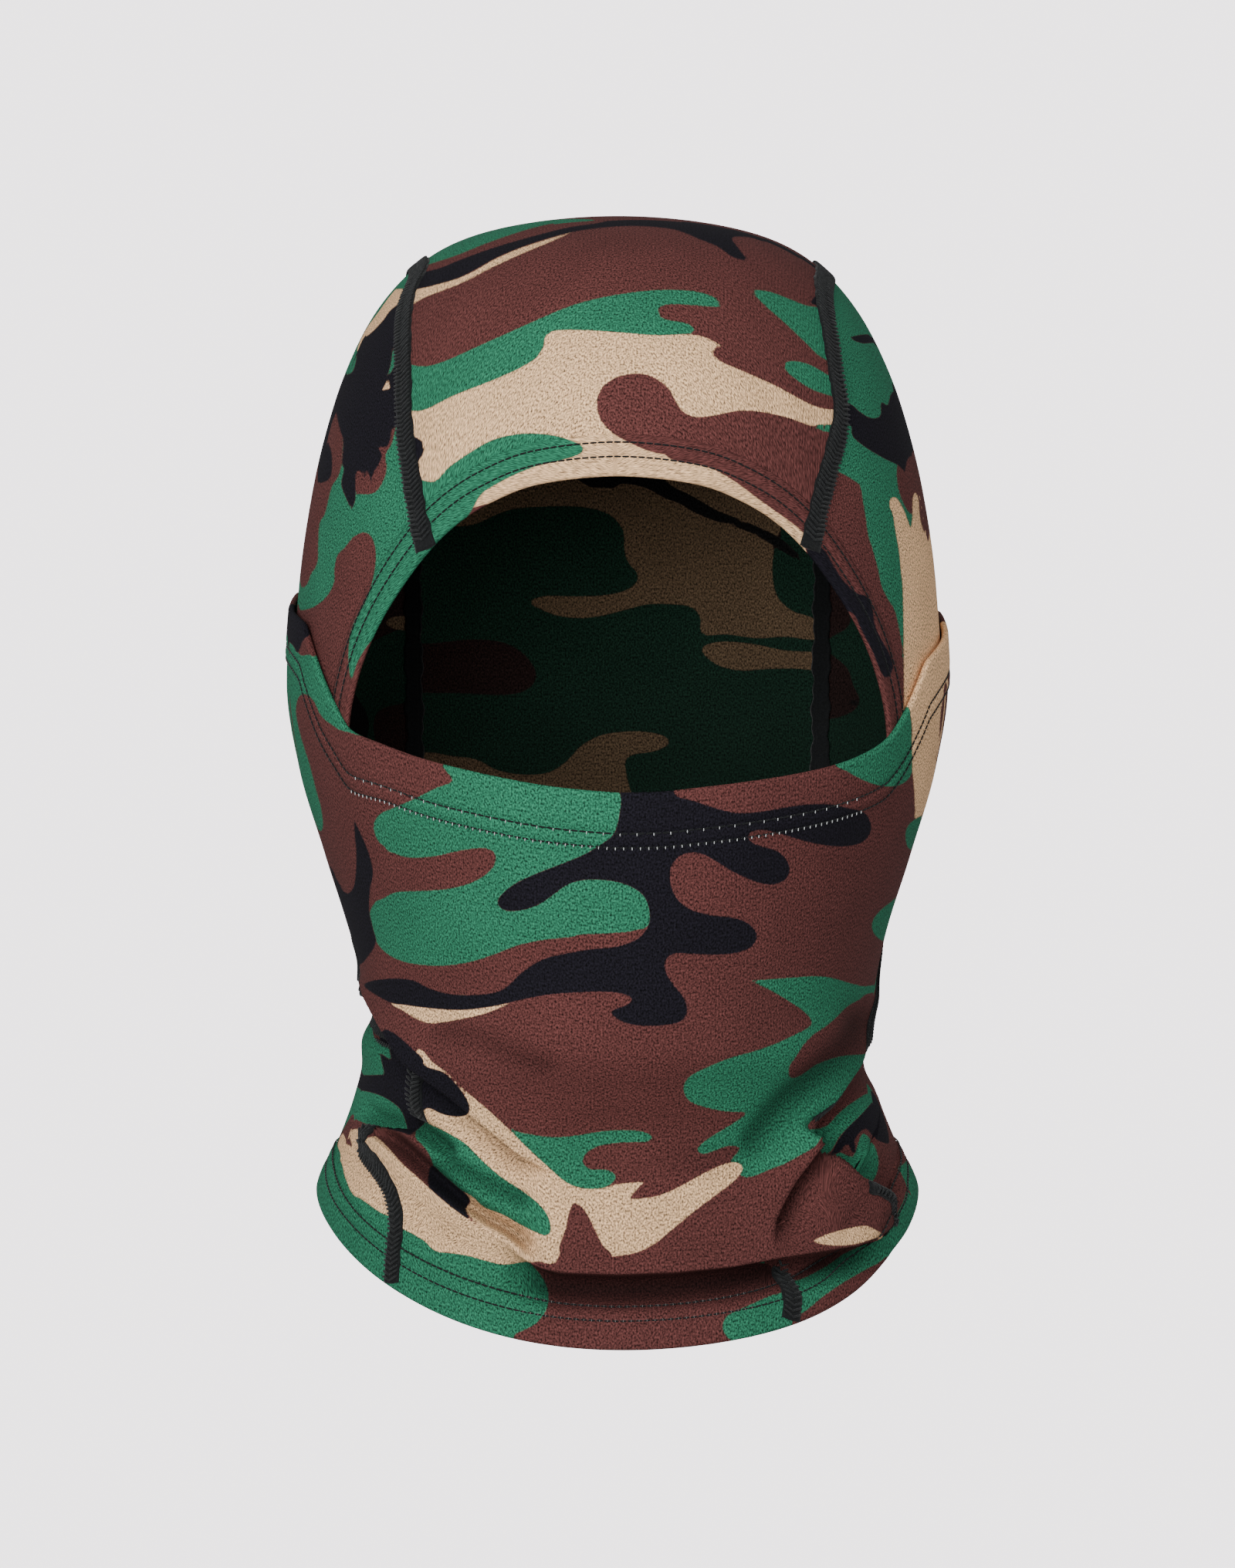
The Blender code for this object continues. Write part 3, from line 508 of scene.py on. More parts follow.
# On the back of the hood, as seen through the face opening.
BACK_SHAPES = (
    (TAN, ((-48, 78), (-38, 88), (-20, 96), (10, 98), (30, 92), (44, 78), (43.6, 74), (42.4, 68),
        (42.4, 62), (44, 57), (48, 53.6), (53, 52), (60, 48), (54, 46), (46, 46.8), (38, 46.4), (30, 47.4),
        (24, 47.2), (22.6, 49), (22.6, 52), (20, 54.8), (14, 55.6), (8, 55.5), (2, 54), (-4, 52.5),
        (-10, 51.8), (-16, 52.4), (-20, 53.8), (-23.8, 56), (-20, 57.7), (-12, 57.6), (-4, 57.9), (1.5, 59),
        (5, 61.2), (5.4, 64), (2.8, 67), (1.8, 71), (1.6, 75.6), (-2.5, 80), (-10, 81.9), (-20, 82),
        (-30, 81), (-40, 77))),
    (TAN, ((23, 43.2), (25, 44.8), (30, 45.4), (38, 44.6), (46, 43), (60, 42), (60, 37.6), (48, 38.2),
        (40, 38), (34, 37.6), (28, 38.8), (24.6, 41))),
    (BROWN, ((-62, 44), (-50, 45), (-40, 46), (-32, 45.4), (-27, 43.2), (-23.4, 39.6), (-22.2, 35.8),
        (-24.4, 32.6), (-30, 31), (-42, 31.4), (-62, 33))),
    (TAN, ((-56, 14), (-44, 14.2), (-38, 13.2), (-33, 10.6), (-26, 9.3), (-19, 9.8), (-14, 12.8), (-10, 17),
        (-5, 19.8), (1, 20.9), (8, 20.9), (13, 19.6), (13.8, 17.6), (10, 15.7), (4, 14.7), (2, 12.5),
        (2.6, 8), (4, -8), (-30, -14), (-60, -4))),
    (BLACK, ((-12, 92), (-8, 87.6), (-4, 87.2), (-1, 87), (1, 88.2), (6, 87.6), (10, 86), (13, 84.2),
        (17, 82.8), (21, 80.4), (27, 78), (31, 77), (38, 74.2), (45, 70), (51, 67), (45, 73), (38, 76.6),
        (32, 79), (27, 81), (20, 85), (14, 88), (8, 93))),
)

# The side on the left of the camera's view.
RIGHT_SHAPES = (
    (TAN, ((-76, 128), (-65.6, 134), (-62.6, 138), (-60, 140.6), (-54, 140), (-58, 137), (-62, 133.4),
        (-70, 124))),
    (BROWN, ((-75.8, 107.4), (-74.3, 103), (-74.2, 97), (-74.6, 93), (-75.4, 90), (-77, 87.6), (-78, 84),
        (-79, 80), (-80.4, 77.4), (-80.8, 72), (-81, 67), (-82.6, 64), (-86, 60), (-100, 66), (-104, 90),
        (-96, 104), (-84, 110))),
    (BROWN, ((-71, 94), (-70.8, 86.4), (-68.5, 85.3), (-65.5, 85.8), (-63.6, 88.2), (-62.3, 92),
        (-62.6, 96), (-60.9, 99), (-60.2, 103.6), (-63, 106), (-70, 100))),
    (BLACK, ((-52, 139), (-60, 136), (-63.6, 131.8), (-67, 128.4), (-70, 126.6), (-70.6, 121),
        (-72.6, 117.6), (-80, 117.6), (-92, 112), (-96, 98), (-84, 90), (-80, 88.3), (-80, 88.3),
        (-77.4, 90), (-77.1, 96), (-78.2, 100), (-77.6, 104), (-76, 107.6), (-76, 107.6), (-75, 103),
        (-74, 99.6), (-74.3, 94), (-73.8, 92), (-74.5, 88), (-73.2, 84.2), (-71.8, 81.2), (-71.8, 81.2),
        (-70.8, 84), (-70.6, 91), (-69.2, 91.4), (-68.4, 89.6), (-67.9, 92), (-67, 90.4), (-66.3, 87.4),
        (-66.3, 87.4), (-65.9, 91), (-64.4, 93.4), (-63.6, 96), (-64.6, 98), (-62.2, 98.2), (-61.2, 100.6),
        (-60.2, 103.4), (-52, 106))),
    (TAN, ((-63.6, 113.3), (-63.6, 113.3), (-61.8, 116.8), (-61.8, 116.8), (-61.3, 113.7), (-61.3, 113.7))),
    (GREEN, ((-60.6, 125), (-59.8, 122), (-60.6, 119), (-62.2, 117.2), (-61.4, 119.6), (-61, 122))),
    (BROWN, ((-68, 75), (-71, 74), (-73.5, 71), (-75.6, 68.8), (-76.4, 65), (-76.5, 61.5), (-78.3, 58),
        (-81, 55.5), (-85, 54), (-100, 52), (-100, 16), (-70, 8), (-60, 30), (-62, 47), (-66, 46),
        (-68.5, 43), (-70.4, 39.5), (-71.8, 35.4), (-72.6, 40), (-72.4, 46), (-71, 51), (-69, 54.5),
        (-67, 59), (-65.7, 64), (-65.2, 69), (-66, 73))),
    (BLACK, ((-78, -56), (-66.5, -56.6), (-63, -57.5), (-60, -59.5), (-55, -62), (-46, -66), (-46, -93),
        (-55, -90.5), (-57, -84.5), (-58.5, -80.8), (-62, -78), (-66, -76.3), (-71, -75.6), (-84, -76),
        (-84, -71.6), (-69, -71.6), (-62.8, -71.4), (-62.8, -71.4), (-64.2, -65.3), (-64.2, -65.3),
        (-61, -67.8), (-61, -67.8), (-62, -63), (-64.5, -59.8), (-68, -58.2), (-78, -58.5))),
    (BROWN, ((-92, -92), (-78, -84), (-73, -82.6), (-70.5, -83.5), (-64, -86.6), (-60, -90), (-73, -91.4),
        (-78, -92))),
    (TAN, ((-71.6, -91), (-72.3, -88), (-71.3, -86.2), (-69, -86.3), (-64, -87.4), (-54, -100), (-54, -112),
        (-60, -110), (-64, -108.5), (-69, -105), (-71.5, -103.5), (-73.5, -99), (-76, -93.5), (-88, -92),
        (-84, -89), (-75, -89.3))),
)

# The side on the right of the camera's view.
LEFT_SHAPES = (
    (BLACK, ((63, 127.6), (67, 128.4), (70, 127.9), (78, 127), (76, 125), (70, 126.2), (66, 126.1))),
    (BROWN, ((75.5, 93), (78, 97), (82, 99), (96, 100), (100, 74), (90, 70), (83.5, 74), (82, 76.5),
        (81, 82), (79, 80), (76, 86))),
    (BROWN, ((54, 93), (60.3, 91), (63.5, 89.2), (65.5, 87.5), (66.3, 83), (67, 79), (67.6, 74.5), (69, 70),
        (70.3, 65), (71.3, 60.5), (73, 57), (74.8, 54), (76, 49), (76.8, 44), (77.3, 38), (79, 30),
        (80, 22), (72, 8), (60, 10), (50, 50), (44, 72))),
    (TAN, ((73.5, 82), (73.7, 84), (75.2, 84.3), (77, 81.5), (78.4, 78), (79.1, 76), (79.6, 79), (79.7, 84),
        (80.3, 85.7), (81.2, 84), (81.5, 80), (82.2, 76.5), (83.5, 74), (86, 72.5), (98, 74), (112, 60),
        (108, 20), (78, 16), (77.4, 30), (77.3, 42), (77.2, 52), (77, 60), (76.5, 65), (76, 70), (75.3, 74),
        (74.8, 77), (74.3, 80))),
    (BLACK, ((54, 111), (62, 110), (65.5, 107.4), (68.5, 105.8), (71, 106.5), (71.2, 110), (73, 109.4),
        (74.4, 113), (80, 115), (92, 108), (90, 98), (79.5, 96), (77.6, 91.2), (77.6, 91.2), (75.5, 93.3),
        (72, 95), (67, 98), (63.5, 101), (62.4, 104), (54, 101))),
    (BLACK, ((48, 74), (55, 71), (58, 66.6), (60.5, 62.6), (64, 59), (67.5, 57.5), (68.8, 54.5), (69.5, 50),
        (71.3, 46), (73.3, 42.5), (74.4, 39), (73.3, 36.2), (71.6, 36.4), (70, 40), (68.3, 44), (67, 46.3),
        (65.5, 49.5), (63.8, 52.8), (62.2, 53.4), (62.8, 49), (64.5, 45), (66.4, 40.5), (66, 36), (66, 36),
        (60, 42), (54, 56))),
    (BROWN, ((50, -40), (100, -44), (104, -112), (60, -140), (40, -130), (46, -70))),
    (GREEN, ((50, -87), (56, -85.5), (60, -81.5), (64, -78.5), (68, -76.3), (76, -75), (76, -78),
        (67.5, -81), (63.5, -84.5), (60, -88), (57.5, -92), (54, -93))),
    (BLACK, ((76, -77), (70, -78), (66, -82), (61, -87), (58, -92), (57.2, -93.8), (60, -92.2), (62, -90),
        (63.5, -92.6), (64.8, -93), (64, -89), (67, -86), (70, -89), (76, -90), (84, -84))),
    (GREEN, ((60, -92.4), (57.5, -94.5), (61, -98), (65, -101), (69, -100), (70.5, -95), (69, -90),
        (66, -87.4), (63.6, -93.4))),
    (GREEN, ((44, -129), (50, -126.4), (54, -124.4), (58, -122), (61, -119.8), (66, -117.4), (70, -115),
        (74, -111), (77, -106), (78.5, -101), (81, -97), (98, -99), (94, -113), (75, -119.5), (70, -122.5),
        (67, -124), (60.7, -127.7), (55.3, -131.4), (49.4, -136), (44, -136))),
)

FRONT_SHAPES = (
    (GREEN, ((-43, 14), (-44.5, 8), (-49, 6), (-55, 3), (-60, 0.8), (-64, -1), (-65.8, -4), (-64.8, -8),
        (-62, -11), (-62, -16), (-61, -22.2), (-64.6, -24), (-66.8, -27.5), (-66.4, -32), (-64.5, -36.4),
        (-61, -39.5), (-56, -41.3), (-48, -42), (-40, -41), (-33, -38.8), (-27, -36.5), (-20, -35),
        (-12, -34.2), (-4, -33.4), (3, -32.9), (9, -32), (12, -20), (10, 14))),
    (BROWN, ((-78, -14), (-70, -12), (-62, -11.2), (-57, -12.7), (-50, -12.5), (-42, -10.8), (-36, -10.2),
        (-33.2, -11.6), (-33.2, -14.6), (-35.6, -17.4), (-40, -19.8), (-46, -21.3), (-53, -21.8),
        (-60, -22.2), (-65, -24.5), (-78, -28))),
    (BROWN, ((-12, -34.1), (-4, -33.3), (3, -32.8), (7, -31.9), (8.4, -33), (4, -36.5), (-4, -37.6),
        (-12, -38.6))),
    (TAN, ((-61, -52), (-55, -50), (-40, -50), (-29.5, -51.6), (-32, -53.4), (-37, -55.2), (-43, -56.5),
        (-50, -57.5), (-54, -56.4), (-58, -54))),
    (BLACK, ((1.6, 8), (1, 2), (0.2, -3), (-1, -6.5), (-4, -9), (-9, -12), (-15, -14.5), (-21, -16.8),
        (-27, -19.5), (-31, -22.5), (-32.3, -25), (-30.5, -27), (-26, -27), (-21, -25.3), (-17, -22.5),
        (-13, -19.8), (-8, -18.7), (-2, -19), (3, -20.3), (7, -23), (8.6, -27), (8.4, -31), (5.6, -34.6),
        (0, -36.8), (-6, -37.4), (-12, -38.3), (-20, -40.2), (-26, -44), (-30, -47.8), (-34, -49.4),
        (-40, -49.9), (-46, -49.5), (-51, -48), (-55, -46), (-60, -45.4), (-66, -46), (-68.4, -47.4),
        (-65, -50), (-61, -52), (-57, -52.6), (-50, -53.5), (-42, -53.9), (-34, -53), (-27, -51.4),
        (-20, -50), (-13, -49.3), (-5, -49), (1, -49.4), (3.8, -50.8), (2.6, -52.6), (-1, -53.8),
        (-1.4, -55.2), (2, -57.4), (7, -58.2), (13, -58), (17.4, -56.8), (18.8, -54), (17.8, -50.5),
        (15, -47), (13, -43.5), (13, -40.4), (15.5, -38.6), (20, -38.8), (28, -39), (34, -38), (37, -36),
        (37.4, -33), (35, -30.4), (31, -29), (25, -28.3), (19.5, -26.7), (16, -23.8), (14.4, -20),
        (14.3, -16), (16, -13), (19, -11.5), (22.5, -11.7), (26, -13.4), (31, -16.5), (37, -19.2),
        (41.5, -20.1), (45, -19), (46.4, -16.5), (45.6, -13.4), (43, -11), (39, -9.8), (36, -8.5),
        (35.4, -6.5), (37.5, -5.4), (41, -5.6), (46, -7), (52, -8.7), (58, -9.7), (63, -9.6), (66.6, -8.3),
        (68.4, -5.5), (68, -2.5), (66, -0.3), (62, 0.6), (58, 1.5), (52, 1.6), (46, 0.9), (40, -0.2),
        (33, -0.8), (27, 0.4), (20, 2.7), (15.6, 4), (14, 8))),
    (BLACK, ((-71.2, -2.5), (-71.2, -2.5), (-69, -7), (-67, -12), (-66, -17), (-66.8, -21.5), (-67, -27),
        (-66, -32), (-65.2, -35.5), (-67, -39), (-71, -42.5), (-84, -46), (-104, -36), (-98, -16),
        (-80, -14), (-75.6, -19), (-74, -21.8), (-72.4, -22.3), (-70.9, -19.5), (-70.5, -12), (-70.9, -7))),
    (GREEN, ((-104, 46), (-90, 47), (-86.4, 43), (-85.5, 41.8), (-83, 42), (-81.5, 41.6), (-74, 46),
        (-66, 22), (-73.5, 21.3), (-77, 23), (-80, 25.5), (-82, 29.5), (-84, 31.3), (-86, 30.6),
        (-86.8, 27), (-86, 22), (-84.6, 17), (-83, 12), (-81.5, 6), (-79.9, 0), (-79.8, -5.4), (-84, -4),
        (-104, 2))),
    (BLACK, ((-104, 60), (-85.5, 57), (-82.2, 51), (-83, 47.5), (-84.8, 46), (-86.3, 42.6), (-88, 45),
        (-92, 47), (-104, 48))),
    (TAN, ((110, 60), (86, 60), (76, 30), (79.4, 24.4), (79.2, 14), (79.8, 9), (80.2, 4), (80.4, 0),
        (81.8, -3), (98, -6), (112, 10))),
    (BROWN, ((104, 38), (90, 36), (87.8, 30), (87, 24), (86.8, 18), (86.4, 12), (96, 8), (104, 20))),
    (GREEN, ((59, 13.5), (62, 10.5), (66, 8.3), (70, 6.8), (74, 6.4), (77, 7.2), (79, 9), (79.6, 12),
        (79.4, 20), (79.2, 24.6), (78, 28), (70, 24))),
    (GREEN, ((84, -1), (79.8, -2.8), (78, -5), (77.8, -8), (79, -10.6), (84, -12), (94, -10), (94, -2))),
    (GREEN, ((68.7, -32), (69, -29.5), (71, -27), (73.5, -25), (77, -23), (88, -23), (86, -37), (74, -36),
        (70.2, -34.4))),
    (GREEN, ((36.3, -46), (39, -45.8), (46, -45.3), (53, -44.8), (58, -45.3), (64, -47), (68.5, -47.3),
        (82, -44), (78, -48), (68, -49.4), (65.5, -51), (62, -53), (59, -56), (56, -58.5), (53, -60.5),
        (50.5, -63), (48.5, -66), (46.5, -69), (46.2, -71), (47, -72.3), (49, -71.8), (51, -70.5),
        (54, -68.5), (58, -67), (61, -66.3), (65, -66), (72, -66), (64, -74), (58, -82), (54, -90),
        (49.5, -93), (45, -95.5), (41, -97), (36, -99), (33, -98.4), (30.5, -95), (33, -91.4), (30, -90.6),
        (26, -92), (23, -92.8), (21.6, -91.4), (24, -89), (28, -86.5), (32, -84), (34.6, -81.7),
        (29, -81.3), (23, -80), (19.5, -78.5), (17.9, -76), (18.2, -73.5), (20, -71.5), (24, -69.5),
        (30, -67), (36, -65.3), (42, -63.3), (47, -61), (51, -59), (52.4, -57.5), (51, -55), (47, -52),
        (42, -49), (38, -47))),
    (GREEN, ((-30, -84), (-28, -86.4), (-23, -87.6), (-17, -88.3), (-11, -87.8), (-5, -86.8), (0, -86.4),
        (6, -86.6), (9.2, -88), (8, -89.4), (3, -89.6), (-2, -90), (-6, -91), (-8.8, -93), (-9.2, -95.4),
        (-7, -97), (-3.4, -97), (-1, -98), (-0.6, -99.6), (-2, -101), (-5, -102.6), (-12, -104),
        (-22, -98))),
    (TAN, ((-54, -64.6), (-50, -68), (-46, -71), (-42, -75), (-36, -80), (-30, -85.5), (-24, -91.5),
        (-18, -97), (-14, -100.4), (-10, -102), (-5, -102.2), (0, -101), (7.2, -100.3), (7.2, -100.3),
        (4.6, -103), (3.2, -104.9), (3.2, -104.9), (7, -104.8), (12, -103.8), (18, -101), (24, -97.7),
        (29, -95.5), (32.4, -95.2), (33.7, -97), (31.5, -100), (27, -103.5), (21, -108), (15.5, -112.5),
        (10, -117), (5, -119.4), (0, -120.3), (-6, -121), (-14, -123), (-22, -121.4), (-28, -118.5),
        (-34, -114.5), (-39, -110.5), (-41, -107.5), (-39.8, -105), (-46, -98), (-54, -88), (-58, -74))),
    (BROWN, ((-12, -105.8), (-12, -105.8), (-9.8, -107), (-8, -109.4), (-6, -113.4), (-4, -117.4),
        (-1.4, -120.4), (0, -128), (-20, -128), (-16, -121), (-15.6, -117.4), (-14, -113), (-13.2, -109))),
    (GREEN, ((-54, -84), (-49, -85.5), (-45, -87.5), (-41, -90), (-37, -94), (-32, -98.5), (-26, -102.5),
        (-21.5, -106), (-18.8, -109.5), (-18, -113), (-19, -114.9), (-22, -114), (-27, -111.5),
        (-31, -109.2), (-36, -107.2), (-39, -104.5), (-43, -102), (-47, -98.5), (-50, -96), (-54, -92))),
    (BLACK, ((-64, -60), (-53.6, -66), (-52, -69), (-47, -70.8), (-44, -73.5), (-41.3, -77), (-40, -80),
        (-40.5, -82), (-43, -82.7), (-47, -82.1), (-50.8, -80.4), (-52.4, -81.4), (-52.6, -85),
        (-62, -88))),
    (BROWN, ((-66, -86), (-58, -87), (-53, -90), (-50, -95), (-50.3, -100), (-48, -106), (-60, -96),
        (-68, -90))),
    (BLACK, ((-50.3, -96), (-47, -98.5), (-43.5, -101.5), (-40, -104.8), (-40.9, -107.8), (-40, -111),
        (-44, -109.4), (-48, -106), (-51, -102))),
    (TAN, ((-72, -92), (-66.5, -88.2), (-64.5, -88.7), (-62, -91), (-58, -95.5), (-53, -100), (-48, -104.5),
        (-43, -108.5), (-38, -112), (-32, -116), (-27, -118.8), (-22, -121.6), (-25, -122.1), (-31, -122.6),
        (-38, -121), (-45, -119.5), (-49, -119), (-52, -116.5), (-57, -113.4), (-64, -110), (-68, -104))),
    (GREEN, ((-76, -106), (-60, -112.4), (-57, -113.4), (-52, -116.3), (-49, -119), (-42, -119.9),
        (-36, -121.4), (-31, -122.6), (-26, -122), (-24, -122), (-21.5, -124.5), (-19.5, -127.5),
        (-18.6, -131), (-19.3, -135), (-22, -138.5), (-25.5, -140.5), (-28, -142), (-32, -150),
        (-74, -140))),
    (GREEN, ((28.4, -139), (29.6, -136.5), (33, -134.8), (38, -132.5), (43, -130.6), (50, -130), (50, -142),
        (38, -146), (32, -144), (29, -141.5))),
    (TAN, ((53, -116.3), (57, -114.4), (62, -113), (66.5, -112.2), (69, -113), (71.4, -114.6), (68, -116),
        (63, -117.3), (57, -117.4))),
)


def outline(points, steps=5):
    """A closed smooth line through the points, with a sharp corner where a point is given twice."""
    given = np.array(points, float)
    a, b, c, d = (np.roll(given, k, axis=0)[:, None] for k in (1, 0, -1, -2))
    line = curve(a, b, c, d, np.linspace(0, 1, steps + 1)[:-1][None, :, None])
    same = np.linalg.norm(c - b, axis=2)[:, 0] < 1e-9
    return line[~same].reshape(-1, 2)


def along_line(at, line, closed):
    """Distance from each place to a line, which side it is on and how far along the line that is."""
    ends = np.roll(line, -1, axis=0) if closed else line[1:]
    starts = line if closed else line[:-1]
    lengths = np.maximum(np.linalg.norm(ends - starts, axis=1), 1e-9)
    passed = np.concatenate([[0.0], np.cumsum(lengths)[:-1]])
    best = np.full(len(at), 1e9)
    side, share = np.zeros(len(at)), np.zeros(len(at))
    within = np.zeros(len(at), bool)
    for start, end, length, before in zip(starts, ends, lengths, passed):
        way, gap = (end - start) / length, at - start
        t = np.clip(gap @ way, 0.0, length)
        away = gap - t[:, None] * way
        distance = np.hypot(away[:, 0], away[:, 1])
        nearer = distance < best
        best = np.where(nearer, distance, best)
        side = np.where(nearer, np.sign(way[0] * gap[:, 1] - way[1] * gap[:, 0]), side)
        share = np.where(nearer, (before + t) / lengths.sum(), share)
        if closed:
            crosses = (start[1] > at[:, 1]) != (end[1] > at[:, 1])
            rise = end[1] - start[1] if abs(end[1] - start[1]) > 1e-12 else 1e-12
            within ^= crosses & (at[:, 0] < start[0] + (at[:, 1] - start[1]) / rise * (end[0] - start[0]))
    return best, side, share, within


FAR = 8.0  # further from an outline than this, only the side matters


def painted(at, shapes, base):
    """For every place, how far inside the green, the tan and the black it is."""
    depth = np.full((len(at), 3), -FAR)
    if base != BROWN:
        depth[:, base] = FAR
    for colour, points in shapes:
        line = outline(points)
        near = np.all((at > line.min(axis=0) - FAR) & (at < line.max(axis=0) + FAR), axis=1)
        if not near.any():
            continue
        distance, _, _, within = along_line(at[near], line, True)
        inward = np.clip(np.where(within, distance, -distance), -FAR, FAR)
        for layer in range(3):
            old = depth[near, layer]
            depth[near, layer] = np.maximum(old, inward) if layer == colour else np.minimum(old, -inward)
    return depth


def scattered(at, seed):
    """The same kind of shapes where no camera of this scene looks: sums of waves, wide and low."""
    random = np.random.default_rng(seed)
    depth = np.zeros((len(at), 3))
    for colour, least in ((GREEN, -0.1), (TAN, 1.05), (BLACK, 0.95)):
        total = np.zeros(len(at))
        for _ in range(7):
            long, high = random.uniform(55, 130), random.uniform(26, 60)
            turn = random.uniform(-0.25, 0.25)
            x, y = at[:, 0] + turn * at[:, 1], at[:, 1] - turn * at[:, 0]
            total += np.sin(2 * np.pi * (x / long + random.uniform())
                            + 1.2 * np.sin(2 * np.pi * (y / high + random.uniform())))
        depth[:, colour] = (total / 1.87 - least) * 7.0
    return np.clip(depth, -FAR, FAR)


PROJECT_TO = 72.0  # azimuth; beyond, the print follows the cloth
HIDDEN = (88, 108)  # azimuths between which the scattered shapes take over
LEFT_SEED, RIGHT_SEED, FRONT_SEED, BACK_SEED, CHIN_SEED = 33, 37, 23, 11, 5


def print_on(p, shapes, base, seed, hidden=None):
    """The print's depths for points: the outlines where the camera looks, scattered shapes elsewhere."""
    flat = p.reshape(-1, 3)
    at = seen(flat)
    azimuth = azimuth_of(flat)
    turned = np.abs(azimuth) > PROJECT_TO
    side = np.sign(azimuth)
    edge = round_at(side[turned] * PROJECT_TO, np.minimum(flat[turned, 2], SHELL_TOP - 3))
    radius = np.hypot(flat[turned, 0], flat[turned, 1] - MIDDLE_Y)
    at[turned] = seen(edge)
    at[turned, 0] += side[turned] * np.radians(np.abs(azimuth[turned]) - PROJECT_TO) * radius
    depth = painted(at, shapes, base)
    if hidden is None:
        hidden = ease(np.abs(azimuth), *HIDDEN)
    share = hidden.reshape(-1)[:, None]
    return depth * (1 - share) + scattered(at, seed) * share


# ---- folds ----

RIDGES = (
    # line in the camera's view, side that stands forward (+1 left of it, -1 right), ridge height and width,
    # valley depth, distance and width, and how far the ridge hangs over the valley
    (((-76, -40), (-69, -46), (-65, -51), (-60, -57), (-53, -66), (-42, -75.5), (-30, -86), (-16, -99)),
     1, 1.8, 9.0, 4.6, 3.8, 4.6, 1.8),
    (((-34, -115), (-26, -119.6), (-15, -122.4), (0, -123), (15, -122.4), (30, -120.8), (42, -118.4),
      (52, -116.8), (62, -115.2), (71, -112.8), (77, -109)),
     1, 3.6, 7.0, 7.0, 5.6, 5.4, 2.4),
    (((-71.5, -85.2), (-67, -86.4), (-62, -87.2), (-56, -88.8), (-51, -92.5), (-46, -97)),
     -1, 2.0, 5.0, 3.6, 2.8, 3.2, 0.8),
    (((-69.5, -87.4), (-63, -92.2), (-57, -97.4), (-50, -103.6), (-43, -109.4), (-36, -114), (-28, -118),
      (-20, -121.2)),
     -1, 3.4, 4.6, 4.8, 2.8, 3.2, 1.8),
    (((68, -60), (64.5, -66), (60, -73), (55, -81), (51, -89), (47.6, -95), (44, -103), (40.5, -110),
      (39, -118)),
     -1, 1.2, 7.0, 4.2, 3.6, 3.8, 1.2),
    (((47, -85), (51, -88.6), (57, -94), (63, -100.6), (70, -104), (76, -108)),
     -1, 3.2, 6.5, 4.6, 4.0, 4.8, 0.4),
)
VALLEYS = (
    # line, depth, width
    (((70, -50), (63.4, -61), (55, -70), (46, -79), (38, -89), (33, -98)), 2.4, 4.2),
    (((-50, -92), (-45, -96), (-38, -100), (-31, -103), (-22, -107)), 1.8, 3.0),
    (((-52, -58), (-44, -60.5), (-36, -63), (-28, -66.5), (-14, -71)), 0.9, 3.4),
    (((60, -112), (54, -105), (50, -98), (48, -92)), -1.2, 5.0),
)
SHADOWS = (
    # painted shade: place in the camera's view, reach, depth; where the slack cloth faces the ground
    ((0, -124), (110, 30), 0.22), ((24, -95), (17, 8), 0.34), ((20, -108), (26, 9), 0.2),
    ((-28, -90), (16, 10), 0.12),
)
FOLD_REACH = 30.0  # no fold is felt further from its line than this
FOLD_ENDS = 0.16  # share of a line over which its fold comes in and goes out
RIDGE_EDGE = 1.8  # width of a ridge's steep side
FOLDS_BELOW = -30.0  # the folds are all lower in the view than this


def bent(at, line):
    """Signed distance (left of the line is positive) and share of the line, and 0 near its ends."""
    distance, side, share, _ = along_line(at, np.array(line, float), False)
    ends = ease(share, 0.0, FOLD_ENDS) * (1 - ease(share, 1.0 - FOLD_ENDS, 1.0))
    return distance * side, share, ends * (distance < FOLD_REACH)


def downhill(line, share, facing):
    """The way from a ridge into its valley, at these shares of the line."""
    points = np.array(line, float)
    way, place = np.gradient(points, axis=0), run(points)
    way = np.stack([np.interp(share * place[-1], place, way[:, k]) for k in (0, 1)], axis=1)
    way /= np.linalg.norm(way, axis=1)[:, None]
    return np.stack([way[:, 1], -way[:, 0]], axis=1) * facing


def neck_folds(here):
    """How far places in the camera's view go out and slide along the cloth, and how much shade is painted on
    them in the folds.
    """
    out, slide, painted_shade = np.zeros(len(here)), np.zeros((len(here), 2)), np.zeros(len(here))
    for line, facing, height, wide, depth, beyond, narrow, hang in RIDGES:
        off, share, weight = bent(here, line)
        off = off * facing
        steep = bump(off, RIDGE_EDGE)
        valley = bump(off + beyond, narrow) * (off < 0) * ease(-off, 0.4, 2.0)
        out += weight * (height * np.where(off > 0, bump(off, wide), steep) - depth * valley)
        # shade painted into the valley under the ridge
        painted_shade = np.maximum(painted_shade, weight * valley * (1.0 if depth > 6 else 0.7))
        over = weight * hang * np.where(off > 0, bump(off, wide * 0.8), steep)
        slide += over[:, None] * downhill(line, share, facing)
    for line, depth, wide in VALLEYS:
        off, _, weight = bent(here, line)
        out -= weight * depth * bump(off, wide)
        if depth > 0:
            # shade painted along the valley
            painted_shade = np.maximum(painted_shade, weight * bump(off, wide) * 0.35 * min(depth, 2.0))
    # painted shade where the slack cloth faces the ground
    for place, reach, depth in SHADOWS:
        off = np.linalg.norm((here - place) / reach, axis=1)
        painted_shade = np.maximum(painted_shade, depth * bump(off, 1.0))
    return out, slide, painted_shade


